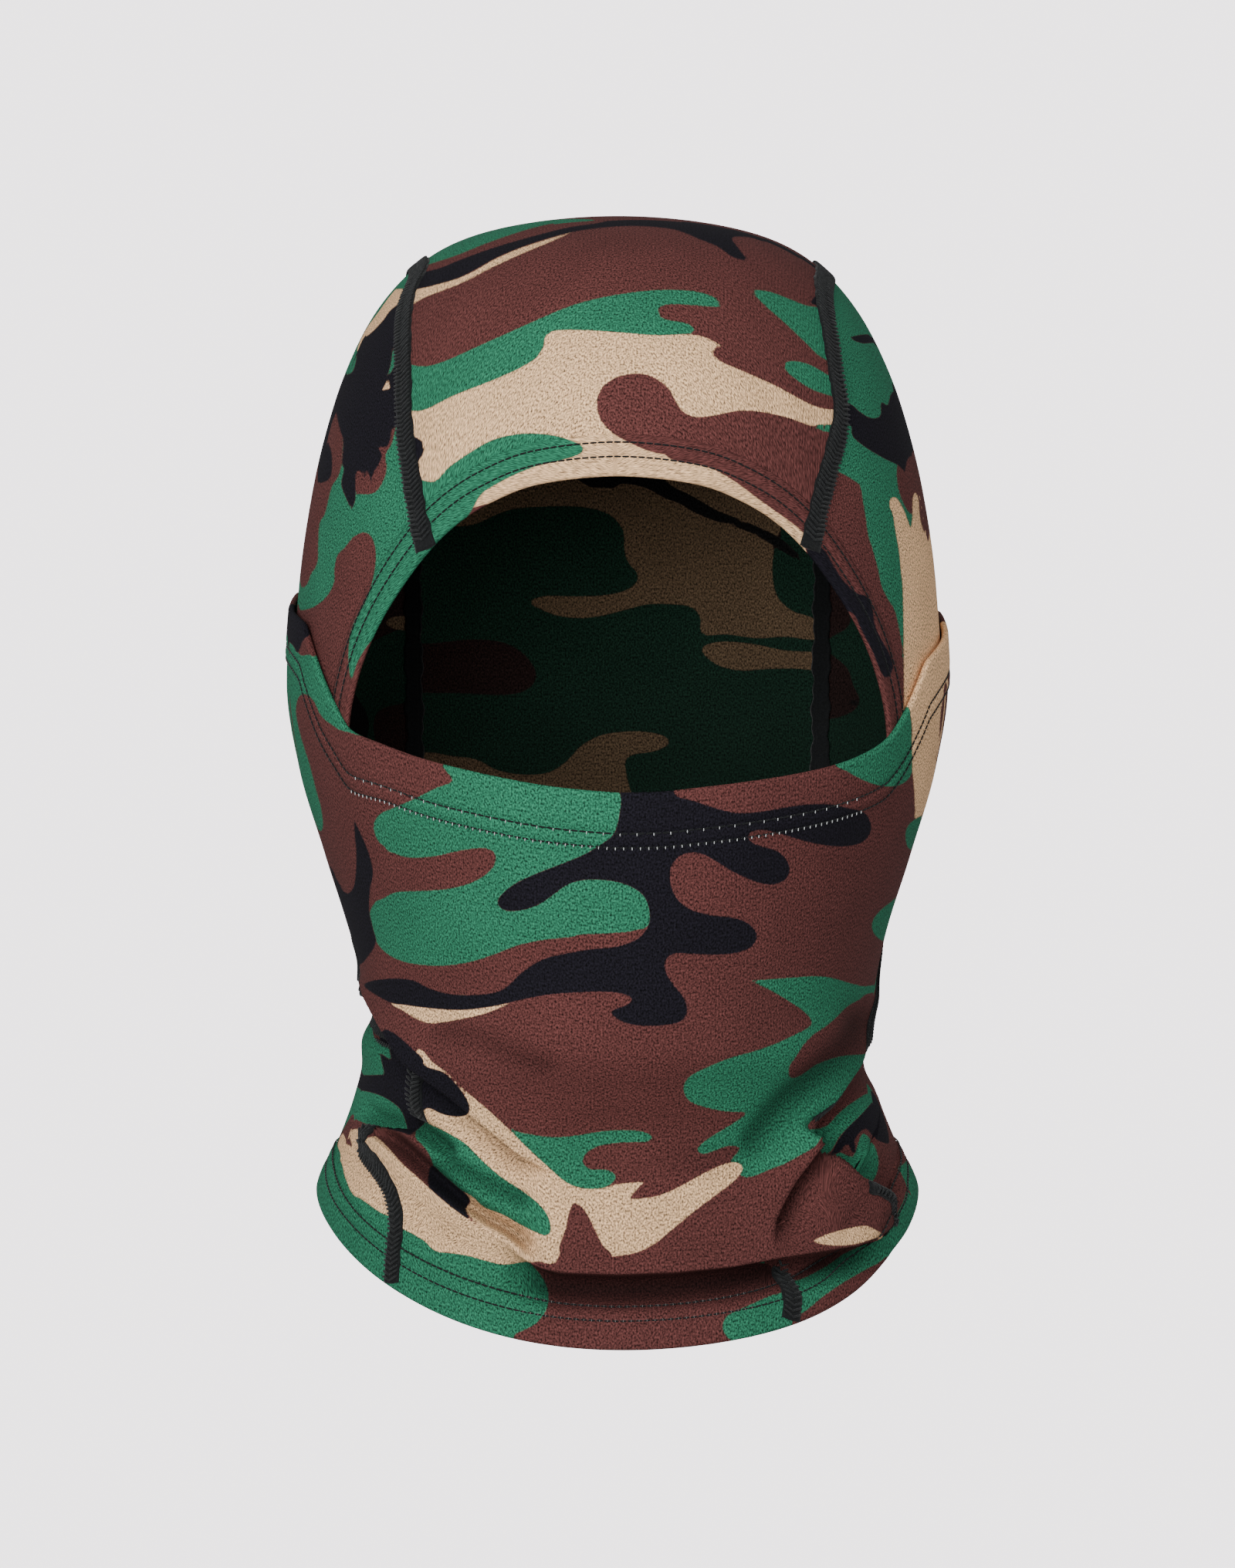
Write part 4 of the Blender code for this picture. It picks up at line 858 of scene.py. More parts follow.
def slack_waves(p):
    """Slack cloth away from the folds: long soft waves, stronger at the neck, and fuller under the jaw."""
    x, y, z = p.T
    right = np.clip(-x / 66.0, 0, 1)
    out = 1.8 * bump(z + 58, 9.0) * np.abs(x) / 70.0
    out += 1.9 * bump(z + 59, 7.0) * right**4
    out -= 2.3 * bump(z + 44, 7.0) * np.clip(-x / 70.0, 0, 1) ** 4
    slack = ease(-z, 20, 90) * 0.5 + 0.12
    return out + slack * np.sin(x / 15.0 + 1.1 * np.sin(z / 21.0)) * np.sin(z / 17.0 + y / 23.0)


def fold(p, away):
    """Points moved by the folds of the neck: in and out, and along the cloth where it hangs over; and the
    shade painted in the folds.
    """
    at = seen(p)
    front = ease(-p[:, 1], -24.0, 6.0)[:, None]
    near = (at[:, 1] < FOLDS_BELOW) & (front[:, 0] > 0)
    out, slide, painted_shade = np.zeros(len(p)), np.zeros((len(p), 2)), np.zeros(len(p))
    out[near], slide[near], painted_shade[near] = neck_folds(at[near])
    out += slack_waves(p)
    sideways = slide[:, :1] * (1.0, 0.0, 0.0) + slide[:, 1:] * UP
    calm = ease(p[:, 2] - hem_height(azimuth_of(p)), -1.0, 11.0)[:, None]  # the hem holds the edge in shape
    return p + front * (0.35 + 0.65 * calm) * (away * out[:, None] + sideways), painted_shade * front[:, 0]


# ---- materials ----

EDGE_WOBBLE, EDGE_SOFT = 0.5, 0.16  # of the print's edges
HEATHER = 0.88  # how far the knit's grain goes to light and dark
WALE = 1.05  # between the knit's ribs
HOLLOW_SHADE = 0.16  # painted shade: light left at the bottom of a fold
INNER_SHADE, INNER_GREY = 0.30, 0.3  # painted shade: light left on the inside, and how much print comes through to it
GREEN_COLOUR = (0.024, 0.165, 0.090, 1.0)
BASE_COLOUR = (0.108, 0.036, 0.033, 1.0)
TAN_COLOUR = (0.79, 0.50, 0.275, 1.0)
BLACK_COLOUR = (0.0095, 0.0085, 0.013, 1.0)
BARE_COLOUR = (0.115, 0.11, 0.1, 1.0)  # of the inside, which isn't printed


class Nodes:
    """A new material, with short ways to add nodes and to fill their sockets."""

    def __init__(self, name):
        self.material = bpy.data.materials.new(name)
        self.material.use_nodes = True
        self.tree = self.material.node_tree
        self.shader = self.tree.nodes["Principled BSDF"]

    def put(self, node, values):
        for key, value in values.items():
            if isinstance(value, bpy.types.NodeSocket):
                self.tree.links.new(value, node.inputs[key])
            else:
                node.inputs[key].default_value = value

    def add(self, kind, values=(), **settings):
        node = self.tree.nodes.new(kind)
        for key, value in settings.items():
            setattr(node, key, value)
        self.put(node, dict(values))
        return node

    def attribute(self, name, output="Fac"):
        return self.add("ShaderNodeAttribute", attribute_name=name).outputs[output]

    def maths(self, operation, a, b=0.0):
        return self.add("ShaderNodeMath", {0: a, 1: b}, operation=operation).outputs[0]

    def spread(self, value, low, high, to_low, to_high):
        values = {"Value": value, "From Min": low, "From Max": high, "To Min": to_low, "To Max": to_high}
        return self.add("ShaderNodeMapRange", values, clamp=True).outputs["Result"]

    def mix(self, share, a, b):
        values = {"Factor": share, 6: a, 7: b}
        return self.add("ShaderNodeMix", values, data_type="RGBA", blend_type="MIX").outputs[2]

    def noise(self, place, scale, stretch=(1.0, 1.0, 1.0)):
        mapping = self.add("ShaderNodeMapping", {"Vector": place, "Scale": stretch})
        values = {"Vector": mapping.outputs[0], "Scale": scale, "Detail": 2.0}
        return self.add("ShaderNodeTexNoise", values).outputs["Fac"]

    def scaled(self, colour, light):
        return self.add("ShaderNodeVectorMath", {0: colour, "Scale": light}, operation="SCALE").outputs[0]

    def raised(self, height, strength, distance):
        values = {"Strength": strength, "Distance": distance, "Height": height}
        return self.add("ShaderNodeBump", values).outputs["Normal"]


def knit(name, inner=False):
    """Printed knit: the print and the painted shade and light come from the mesh, the wales and the heather
    from noise and waves.
    """
    n = Nodes(name)
    weave = n.attribute("weave", "Vector")
    wobble = n.maths("MULTIPLY", n.maths("SUBTRACT", n.noise(weave, 1.4), 0.5), EDGE_WOBBLE)
    colour = BASE_COLOUR
    for layer, paint in (("green", GREEN_COLOUR), ("tan", TAN_COLOUR), ("black", BLACK_COLOUR)):
        depth = n.maths("ADD", n.attribute(layer), wobble)
        colour = n.mix(n.spread(depth, -EDGE_SOFT, EDGE_SOFT, 0.0, 1.0), colour, paint)
    fibre = n.noise(weave, 2.1, (1.0, 0.75, 1.0))
    grain = n.spread(fibre, 0.3, 0.7, 1.0 - HEATHER, 1.0 + HEATHER)
    uneven = n.spread(n.noise(weave, 0.06), 0.3, 0.7, 0.94, 1.06)
    # shade painted into the folds darkens the colour
    shade = n.spread(n.attribute("painted_shade"), 0.0, 1.0, 1.0, HOLLOW_SHADE)
    # the knit's grain and uneven tone, times the painted shade
    light = n.maths("MULTIPLY", n.maths("MULTIPLY", grain, uneven), shade)
    if inner:
        colour = n.mix(INNER_GREY, colour, BARE_COLOUR)
        # light painted on the inside: darker than the outside, brighter higher up; the depth values carry it
        light = n.maths("MULTIPLY", light, n.maths("MULTIPLY", n.attribute("depth"), INNER_SHADE))
    across = n.add("ShaderNodeSeparateXYZ", {0: weave}).outputs[0]
    wales = n.maths("SINE", n.maths("MULTIPLY", across, 2 * math.pi / WALE))
    height = n.maths("ADD", n.maths("MULTIPLY", wales, 0.2), n.maths("MULTIPLY", fibre, 0.3))
    n.put(n.shader, {"Base Color": n.scaled(colour, light), "Roughness": 0.92, "Specular IOR Level": 0.12,
                     "Normal": n.raised(height, 0.55, 0.00025)})
    return n.material


def plain(name, colour, roughness, sheen=0.0, fuzz=0.0):
    """Thread or tape in one colour. Fuzz is how uneven it is."""
    n = Nodes(name)
    n.put(n.shader, {"Roughness": roughness, "Specular IOR Level": 0.15, "Sheen Weight": sheen})
    if not fuzz:
        n.put(n.shader, {"Base Color": (*colour, 1.0)})
        return n.material
    place = n.add("ShaderNodeTexCoord").outputs["Object"]
    grain = n.add("ShaderNodeTexNoise", {"Vector": place, "Scale": 1800.0}).outputs["Fac"]
    n.put(n.shader, {"Base Color": n.scaled(colour, n.spread(grain, 0.3, 0.7, 1.0 - fuzz, 1.0 + fuzz)),
                     "Normal": n.raised(grain, 0.5, 0.0003)})
    return n.material


CLOTH = (knit("camouflage_knit_outside"), knit("camouflage_knit_inside", inner=True))
BLACK_THREAD = plain("black_thread", (0.0075, 0.0085, 0.009), 0.8, 0.1, 0.35)
LOOPING_THREAD = plain("looping_black_thread", (0.016, 0.0175, 0.018), 0.8, 0.1, 0.35)
PALE_FIBRE = plain("bare_fibre", (0.62, 0.64, 0.64), 0.8)
DULL_FIBRE = plain("dull_fibre", (0.22, 0.2, 0.19), 0.8)
TAPE = plain("label_tape", (0.75, 0.74, 0.72), 0.7)


# ---- meshes ----

def placed(name, data):
    made = bpy.data.objects.new(name, data)
    bpy.context.collection.objects.link(made)
    return made


def smooth_mesh(name, points, faces, looks):
    mesh = bpy.data.meshes.new(name)
    mesh.from_pydata((points * MM).tolist(), [], faces)
    mesh.shade_smooth()
    for look in looks:
        mesh.materials.append(look)
    return placed(name, mesh)


def surface(name, grid, looks, thickness, keep=None, closed=False, values=None, outer_cells=None):
    """A mesh through a grid of points, thickened inwards. Values are numbers for each point, by name."""
    rows, columns = grid.shape[:2]
    number = np.arange(rows * columns).reshape(rows, columns)
    if closed:
        number = np.concatenate([number, number[:1]])
    cells = np.stack([number[:-1, :-1], number[:-1, 1:], number[1:, 1:], number[1:, :-1]], axis=-1)
    p = grid.reshape(-1, 3)
    a, b, c, d = p[cells[:, :outer_cells].reshape(-1, 4)].transpose(1, 0, 2)
    middle = (a + c) / 2
    if (np.cross(c - a, d - b) * (middle - centres(middle))).sum() < 0:
        cells = cells[..., ::-1]
    cells = cells.reshape(-1, 4)
    if keep is not None:
        cells = cells[keep.reshape(-1)]
    used, cells = np.unique(cells, return_inverse=True)
    piece = smooth_mesh(name, p[used], cells.reshape(-1, 4).tolist(), looks)
    for key, value in (values or {}).items():
        value = value.reshape(rows * columns, -1)[used]
        kind, field = ("FLOAT", "value") if value.shape[1] == 1 else ("FLOAT_VECTOR", "vector")
        piece.data.attributes.new(key, kind, "POINT").data.foreach_set(field, value.ravel())
    thick = piece.modifiers.new("thickness", "SOLIDIFY")
    thick.thickness = thickness * MM
    thick.offset = -1.0
    thick.material_offset = 1 if len(looks) > 1 else 0
    return piece


def lengths(grid, axis):
    """Distance along the grid's rows or columns, from its middle."""
    step = np.linalg.norm(np.diff(grid, axis=axis), axis=-1)
    zero = np.zeros_like(np.take(step, [0], axis=axis))
    total = np.concatenate([zero, np.cumsum(step, axis=axis)], axis=axis)
    return total - np.take(total, [total.shape[axis] // 2], axis=axis)


def inside_light(p):
    """Painted light for the inside: more higher up and on the wearer's right, to even out the light that
    falls through the face opening onto the back of the hood.
    """
    up = ease(p[..., 2], 0.0, 95.0)
    across = ease(p[..., 0], -50.0, 50.0)
    return (0.5 + 0.95 * up) * (1.2 - 0.4 * across)


def printed(name, grid, depth, painted_shade, thickness=FABRIC, across=1, **more):
    """A piece of printed cloth. The knit's ribs run along the grid's other axis than across."""
    weave = np.stack([lengths(grid, across), lengths(grid, 1 - across), np.zeros(grid.shape[:2])], axis=-1)
    # besides the print and the weave: shade painted into the folds, and light painted on the inside as the
    # depth values
    values = {"green": depth[:, 0], "tan": depth[:, 1], "black": depth[:, 2], "weave": weave,
              "painted_shade": painted_shade, "depth": inside_light(grid)}
    return surface(name, grid, CLOTH, thickness, values=values, **more)


def raised_and_folded(grid, lift, smoothing=0):
    """Shell points, lifted and folded, and how much shade is painted on each one for lying deep in a fold."""
    flat = grid.reshape(-1, 3)
    away = normals(flat)
    lift = np.broadcast_to(lift, grid.shape[:-1]).reshape(-1, 1)
    done, painted_shade = fold(flat + away * lift, away)
    moved = (done - flat).reshape(grid.shape)
    for _ in range(smoothing):
        moved[1:-1] = (moved[:-2] + 2 * moved[1:-1] + moved[2:]) / 4
        moved[:, 1:-1] = (moved[:, :-2] + 2 * moved[:, 1:-1] + moved[:, 2:]) / 4
    return grid + moved, painted_shade


# ---- the panels ----

def crown():
    """The centre strip, from the face opening over the top and down the back to the hem."""
    across = np.linspace(-1, 1, 93)
    start, end = strip_start(across * 50.0) - 0.9, strip_end(across * 52.0) + 2.0
    front_rows, back_rows = np.linspace(0, 1, 110)[:, None], np.linspace(0, 1, 150)[1:, None]
    turns = np.concatenate([start + (180.0 - start) * front_rows, 180.0 + (end - 180.0) * back_rows])
    grid, painted_shade = raised_and_folded(strip_at(turns, across * strip_half(turns, across)), FABRIC)
    straight = seen(grid)
    at, path = straight.copy(), lengths(grid, 0)
    # past this turn the camera's view of the print is carried on along the cloth
    carried = 75.0
    last, column = np.argmin(np.abs(turns - carried), axis=0), np.arange(len(across))
    at[..., 1] = np.where(turns > carried, at[last, column, 1] + path - path[last, column], at[..., 1])
    flat = at.reshape(-1, 2)
    turn, height = turns.ravel(), straight[..., 1].ravel()
    on_back = (ease(turn, 148, 162) * ease(height, -12, 4))[:, None]
    on_top = (1 - ease(turn, 88, 112))[:, None]
    depth = (painted(flat, CROWN_SHAPES, BROWN) * on_top
             + painted(straight.reshape(-1, 2), BACK_SHAPES, GREEN) * on_back
             + scattered(flat, BACK_SEED) * (1 - on_top - on_back))
    return printed("crown", grid, depth, painted_shade)


SIDE_ROWS, SIDE_COLUMNS = 330, 100
UNDERLAP = 6.0  # degrees of side panel under the front panel, low on the neck


def side_grid(side):
    """The hood's side, from its front edge to the back seam, in rows from the hem to the top."""
    seam = crown_seam_line(side) * (side, 1, 1)
    peak = int(np.argmax(seam[:, 2]))
    seam_front, seam_back = by_height(seam[:peak]), by_height(seam[peak:])
    top_z = seam[peak, 2] - 0.4
    loop = opening_loop(OPENING_HEM - 1.0, FINE)
    loop = loop[loop[:, 0] > 0]
    corner = strip_corner(side, OPENING_HEM - 1.0)
    chin = loop[np.argmin(np.abs(loop[:, 0] - CHIN_HALF) + 1000 * (loop[:, 2] > 0))]
    hem_front = by_height(loop[(loop[:, 2] >= chin[2]) & (loop[:, 2] <= corner[2])])
    seam_at = NECK_AZIMUTH[side]

    def front_edge(z):
        join = seam_at(NECK_JOIN_Z) - 1.0
        rise = (z - NECK_JOIN_Z) / (chin[2] - NECK_JOIN_Z)
        reach = 1.6 + 5.4 * (1 - ease(z, -82, -75))
        low_edge = np.min([seam_at(z + share * reach) for share in (-1, -0.5, 0, 0.5, 1)], axis=0)
        low_edge = low_edge - 1.0 - (UNDERLAP - 1.0) * (1 - ease(z, -84, -76))
        edge = np.where(z > NECK_JOIN_Z, join + rise * (azimuth_of(chin) - join), low_edge)
        edge = np.where(z > chin[2], hem_front(z), edge)
        return np.where(z > corner[2], seam_front(z), edge)

    v = 1 - (1 - np.linspace(0, 1, SIDE_ROWS)) ** 1.25

    def row_z(azimuth, share):
        low = hem_height(azimuth) + BOTTOM_HEM - 1.0
        return low + share * (top_z - low)

    turn = np.arange(12.0, 120.0, 0.25)
    begin = turn[np.argmax(turn >= front_edge(row_z(turn, v[:, None])), axis=1)]
    end = np.full(v.shape, 140.0)
    for _ in range(12):
        end = seam_back(row_z(end, v))
    azimuth = begin[:, None] + (end - begin)[:, None] * np.linspace(0, 1, SIDE_COLUMNS)
    return round_at(side * azimuth, row_z(azimuth, v[:, None]))


def side_panel(name, side, shapes, seed):
    """One side of the hood; low on the neck its front edge is tucked under the front panel."""
    shell = side_grid(side)
    z = shell[..., 2]
    beyond = NECK_AZIMUTH[side](z) - np.abs(azimuth_of(shell))
    tucked = (0.9 * ease(beyond, 0.2, 1.6) + 2.2 * ease(beyond, 1.6, 6.0)) * (1 - ease(z, -82, -75))
    grid, painted_shade = raised_and_folded(shell, FABRIC - tucked, smoothing=6)
    # the side panels get less of the painted fold shade
    return printed(name, grid, print_on(grid, shapes, GREEN, seed), painted_shade * 0.6)


def chin_panel():
    """The hood's lower front, behind the cover."""
    hem_line = opening_loop(OPENING_HEM - 1.0, FINE)
    low = hem_line[hem_line[:, 2] < 0]
    low = low[np.argsort(low[:, 0])]
    x = np.linspace(-CHIN_HALF, CHIN_HALF, 40)
    top = np.interp(x, low[:, 0], low[:, 2])
    rows = [front_at(x * (1 - 0.04 * s), NECK_JOIN_Z + (top - NECK_JOIN_Z) * s)
            for s in np.linspace(0, 1, 24)]
    grid, painted_shade = raised_and_folded(np.array(rows), FABRIC)
    return printed("chin", grid, print_on(grid, (), GREEN, CHIN_SEED, np.ones(grid.shape[:2])), painted_shade)


def front_lift(azimuth, z):
    """How far the front panel's outside stands off the shell."""
    over = FABRIC + 0.15 + 1.5 * ease(z, -84, -58)
    loose = 0.3 * ease(z, 4, 24) * bump(np.abs(azimuth) - 66, 20.0)
    return over + loose


FRONT_ROWS, FRONT_COLUMNS = 290, 241
TURNOVER = 12.0  # how far the cover hem's inner layer reaches down


def front_panel():
    """One cloth from the bottom hem to the cover's top hem, which is turned over to the inside."""
    azimuth = np.linspace(-WING_BACK, WING_BACK, FRONT_COLUMNS)
    low, top = hem_height(azimuth) + BOTTOM_HEM - 1.0, cover_top(azimuth)
    z = low + np.linspace(0, 1, FRONT_ROWS)[:, None] * (top - low)
    turned = np.broadcast_to(azimuth, z.shape)
    below = (top - z) / cover_steepness(azimuth)
    # the hem is thicker than the cloth below it, and its stitches pull it in
    thick = 0.55 * (1 - ease(below, COVER_ROWS[1], COVER_ROWS[1] + 1.5))
    for row in COVER_ROWS:
        thick = thick - 0.45 * bump(below - row, 0.8)
    lift = front_lift(turned, z) + thick
    # the turned edge: round a radius of 0.9, then down the inside
    rolls = [(0.9 * math.sin(a), 0.9 * (1 - math.cos(a))) for a in np.radians((30, 75, 120, 160))]
    rolls += [(-down, 1.7) for down in np.linspace(1.2, TURNOVER, 10)]
    shell = np.concatenate([round_at(turned, z), [round_at(azimuth, top + rise) for rise, _ in rolls]])
    lift = np.concatenate([lift, [lift[-1] - sink for _, sink in rolls]])
    grid, painted_shade = raised_and_folded(shell, lift)
    # the cells up to the neck seams, and all of them above the wings' low edge
    middle = (shell[:-1, :-1] + shell[1:, 1:]) / 2
    a, z = azimuth_of(middle), middle[..., 2]
    limit = np.max([neck_azimuth(a, z + near) for near in (-0.8, 0.0, 0.8)], axis=0)
    limit = np.where(z > WING_LOW[-1][1] + 4, WING_BACK + 1, limit)
    return printed("front_panel", grid, print_on(grid, FRONT_SHAPES, BROWN, FRONT_SEED), painted_shade, FABRIC * 0.8,
                   keep=np.abs(a) < limit + 0.6, outer_cells=60)


HEM_THICK = FABRIC * 0.7  # of each of a hem's two layers
HEM_OUTER_CELLS = 14  # across a hem's outside


def hem_profile(width, rows):
    """Across a turned-over hem: distance in from its edge, and height of the outside."""
    flat = np.linspace(width + 0.4, 0.9, 16)
    high = FABRIC + 0.05 + 0.65 * (1 - ease(flat, width - 2.0, width))
    for row in rows:
        high = high - 0.4 * bump(flat - row, 0.75)
    turn = np.radians((25, 60, 90, 120, 155))
    over = [(0.9 - 0.9 * math.sin(a), high[-1] - 0.85 + 0.85 * math.cos(a)) for a in turn]
    under_side = [(d, high[-1] - 1.75) for d in np.linspace(1.2, width - 2.0, 6)]
    return list(zip(flat, high)) + over + under_side


def hem_cloth(name, columns, extra, paint):
    """A closed hem from the columns of its profile. paint takes the shell's points and the hem's own."""
    shell = np.stack([c[0] for c in columns], axis=1)
    lift = np.broadcast_to([c[1] for c in columns], shell.shape[:2]) + extra
    grid, painted_shade = raised_and_folded(shell, lift)
    return printed(name, grid, paint(shell, grid), painted_shade, HEM_THICK, across=0, closed=True,
                   outer_cells=HEM_OUTER_CELLS)


def opening_hem():
    inner, outer = opening_loop(0.0, 420), opening_loop(OPENING_HEM, 420)
    columns = [(settle(inner + (outer - inner) * d / OPENING_HEM), h)
               for d, h in hem_profile(OPENING_HEM, OPENING_ROWS)]

    def paint(shell, grid):
        flat = grid.reshape(-1, 3)
        at, x = seen(flat), flat[:, 0]
        on_crown = (at[:, 1] > 60) & (np.abs(x) < strip_half(turn_of(flat), x))
        sides = np.where(x[:, None] > 0, painted(at, LEFT_SHAPES, GREEN), painted(at, RIGHT_SHAPES, GREEN))
        return np.where(on_crown[:, None], painted(at, CROWN_SHAPES, BROWN), sides)

    return hem_cloth("opening_hem", columns, 0.0, paint)


def bottom_hem():
    azimuth = np.linspace(-180, 180, 421)[:-1]
    edge = hem_height(azimuth)
    columns = [(round_at(azimuth, edge + d), h) for d, h in hem_profile(BOTTOM_HEM, BOTTOM_ROWS)]

    def paint(shell, grid):
        flat = grid.reshape(-1, 3)
        a = azimuth_of(shell).ravel()
        sides = np.where(flat[:, :1] > 0, print_on(grid, LEFT_SHAPES, GREEN, LEFT_SEED),
                         print_on(grid, RIGHT_SHAPES, GREEN, RIGHT_SEED))
        on_panel = (np.abs(a) < neck_azimuth(a, shell[..., 2].ravel()))[:, None]
        depth = np.where(on_panel, print_on(grid, FRONT_SHAPES, BROWN, FRONT_SEED), sides)
        back = scattered(np.stack([flat[:, 0], flat[:, 2] - 330], axis=1), BACK_SEED)
        return np.where((np.abs(a) > SEAM_FOOT_AZIMUTH)[:, None], back, depth)

    return hem_cloth("bottom_hem_cloth", columns, 0.1, paint)


# ---- seams, threads, tacks and the label ----

SEAM_STEP = 0.42  # between the rows of points along a seam's band
LOOP_PITCH = 1.35  # between the strands of a seam's cover thread


def height_on(lift, p):
    """A lift is a number, or a function that reads the shell's points."""
    return lift(p) if callable(lift) else np.full(p.shape[:-1], float(lift))


def line_frame(line):
    """The way along a line on the shell, and out of the shell."""
    along = np.gradient(line, axis=0)
    return along / np.linalg.norm(along, axis=1)[:, None], normals(line)


def seam(name, line, width, lift, pitch=1.3, inner=False):
    """A flatlock seam: a crowned band of looping threads."""
    count = int(run(line)[-1] / SEAM_STEP)
    line = spaced(line, count)
    across = np.cross(*line_frame(line))
    across /= np.linalg.norm(across, axis=1)[:, None]
    t = np.linspace(-1, 1, 13)
    place = np.arange(count)[:, None] * SEAM_STEP
    wave = 1 + (3.0 if inner else 1.0) * (0.05 * np.sin(place / 2.3) + 0.04 * np.sin(place / 0.9 + 1.0))
    shell = settle(line[:, None, :] + across[:, None, :] * (t * width / 2 * wave)[..., None])
    loops = np.cos(2 * np.pi * (place / pitch + 0.45 * np.abs(t)))
    height = 0.45 * (1 - np.abs(t) ** 6) + 0.12 * loops * (1 - np.abs(t) ** 8)
    height = height - 0.16 * bump(np.abs(t) - 0.5, 0.13)
    grid, _ = raised_and_folded(shell, -height if inner else height + height_on(lift, shell))
    return surface(name, grid, (BLACK_THREAD,), 0.9)


def seam_loops(name, line, width, lift):
    """The cover thread of a flatlock seam: slanting strands over both halves of the band."""
    line = spaced(line, int(run(line)[-1] / LOOP_PITCH))
    along, out = line_frame(line)
    across = np.cross(along, out)
    random = np.random.default_rng(len(line))
    done, way = [], []
    for half in (-1, 1):
        shift = random.uniform(-0.18, 0.18, (2, len(line), 1))
        middle = settle(line + across * (half * width * 0.25) + along * shift[0])
        tip = across * half * width * 0.25 + along * (LOOP_PITCH * 0.42) + across * shift[1] * 0.5
        high = height_on(lift, middle) + 0.7
        ends = []
        for place in (middle - tip, middle + tip):
            shell = settle(place)
            away = normals(shell)
            ends.append(fold(shell + away * high[:, None], away)[0])
        done.append((ends[0] + ends[1]) / 2)
        way.append(ends[1] - ends[0])
    done, way = np.concatenate(done), np.concatenate(way)
    length = float(np.median(np.linalg.norm(way, axis=1))) * 1.12
    return capsules(name, done, way, normals(done), length, 0.34, LOOPING_THREAD)


# Share of the length and of the radius.
CAPSULE_RINGS = ((-0.5, 0.35), (-0.38, 0.9), (0.0, 1.0), (0.38, 0.9), (0.5, 0.35))
CAPSULE_SIDES = 6


def capsules(name, centre, way, out, length, radius, look):
    """Short rounded threads, one at each centre, along way."""
    way = way / np.linalg.norm(way, axis=1)[:, None]
    side = np.cross(way, out)
    side /= np.linalg.norm(side, axis=1)[:, None]
    out = np.cross(side, way)
    around = np.arange(CAPSULE_SIDES)
    points = [centre + way * (place * length) + (side * math.cos(a) + out * math.sin(a)) * (radius * size)
              for place, size in CAPSULE_RINGS for a in np.radians(around * 360.0 / CAPSULE_SIDES)]
    points = np.stack(points, axis=1)
    following = (around + 1) % CAPSULE_SIDES
    rings = [k * CAPSULE_SIDES for k in range(len(CAPSULE_RINGS))]
    walls = np.concatenate([np.stack([a + around, b + around, b + following, a + following], axis=1)
                            for a, b in zip(rings, rings[1:])])
    caps = np.stack([around, rings[-1] + around[::-1]])
    start = (np.arange(len(centre)) * points.shape[1])[:, None, None]
    faces = (walls + start).reshape(-1, 4).tolist()
    for cap in caps:
        faces += (cap + start[:, 0]).tolist()
    return smooth_mesh(name, points.reshape(-1, 3), faces, (look,))


def stitches(name, line, closed, lift, look, pitch=2.0, length=1.75, radius=0.24, turned=False, keep=None):
    """A row of stitches on a line on the shell. Turned ones lie across the row."""
    loop = np.concatenate([line, line[:1]]) if closed else line
    line = spaced(line, int(run(loop)[-1] / pitch), closed)
    if keep is not None:
        line = line[keep(line)]
    step = np.gradient(line, axis=0)
    if closed:
        step[0], step[-1] = step[1], step[-2]
    away = normals(line)
    high = away * height_on(lift, line)[:, None]
    done, _ = fold(line + high, away)
    ahead, _ = fold(line + step * 0.2 + high, away)
    way = np.cross(away, ahead - done) if turned else ahead - done
    return capsules(name, done, way, away, length, radius, look)


def opening_depth(p):
    """Roughly how far a point of the shell is from the face opening's edge."""
    loop = opening_loop(0.0, 160)
    return np.min([np.linalg.norm(p - q, axis=-1) for q in loop], axis=0)


def seam_base(shell):
    """What a crown seam lies on: the hood's cloth and then the opening's hem."""
    return FABRIC + 0.05 + 0.65 * (1 - ease(opening_depth(shell), OPENING_HEM - 2.0, OPENING_HEM + 1.5))


def neck_seam_base(shell):
    """What a neck seam lies on: the bottom hem, then the front panel on one side, the hood on the other."""
    azimuth, z = azimuth_of(shell), shell[..., 2]
    over_hem = 0.75 * (1 - ease(z - hem_height(azimuth), BOTTOM_HEM - 1.0, BOTTOM_HEM + 2.0))
    front = front_lift(azimuth, z) + 0.05
    outer = ease(np.abs(azimuth) - neck_azimuth(azimuth, z), 0.3, 2.6)
    return np.maximum(front + (FABRIC + 0.05 - front) * outer, FABRIC + 0.05 + over_hem)


def on_front_panel(p):
    """What a thread or seam on the front panel lies on."""
    return front_lift(azimuth_of(p), p[..., 2]) + 0.25


def cover_row(below):
    azimuth = np.linspace(-WING_BACK + 1, WING_BACK - 1, 400)
    return round_at(azimuth, cover_top(azimuth) - below * cover_steepness(azimuth))


def label():
    """A blank label inside the nape, with a slight wave."""
    azimuth = 180.0 + np.linspace(-0.5, 0.5, 12) * math.degrees(LABEL_WIDTH / LABEL_RADIUS)
    z = LABEL_Z + np.linspace(-0.5, 0.5, 16)[:, None] * LABEL_HEIGHT
    grid = lifted(round_at(azimuth, z), -LABEL_INSET + 0.25 * np.sin(z / 4.0) * np.ones(12))
    return surface("label", grid, (TAPE,), 0.35)


# ---- the balaclava ----

PRINT, THREAD = "camouflage_knit", "black_thread"


def on_hood(piece, slot, *parts):
    """A piece that stays with the hood, its slot, which is not used, and the record's parts that it stands
    for.
    """
    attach(piece, "hood")
    if parts:
        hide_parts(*parts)
    return piece


def on_cover(piece, slot, *parts):
    """A piece of the cover, with its place baked into its mesh; it joins no body."""
    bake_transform(piece)
    if parts:
        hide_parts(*parts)
    return piece


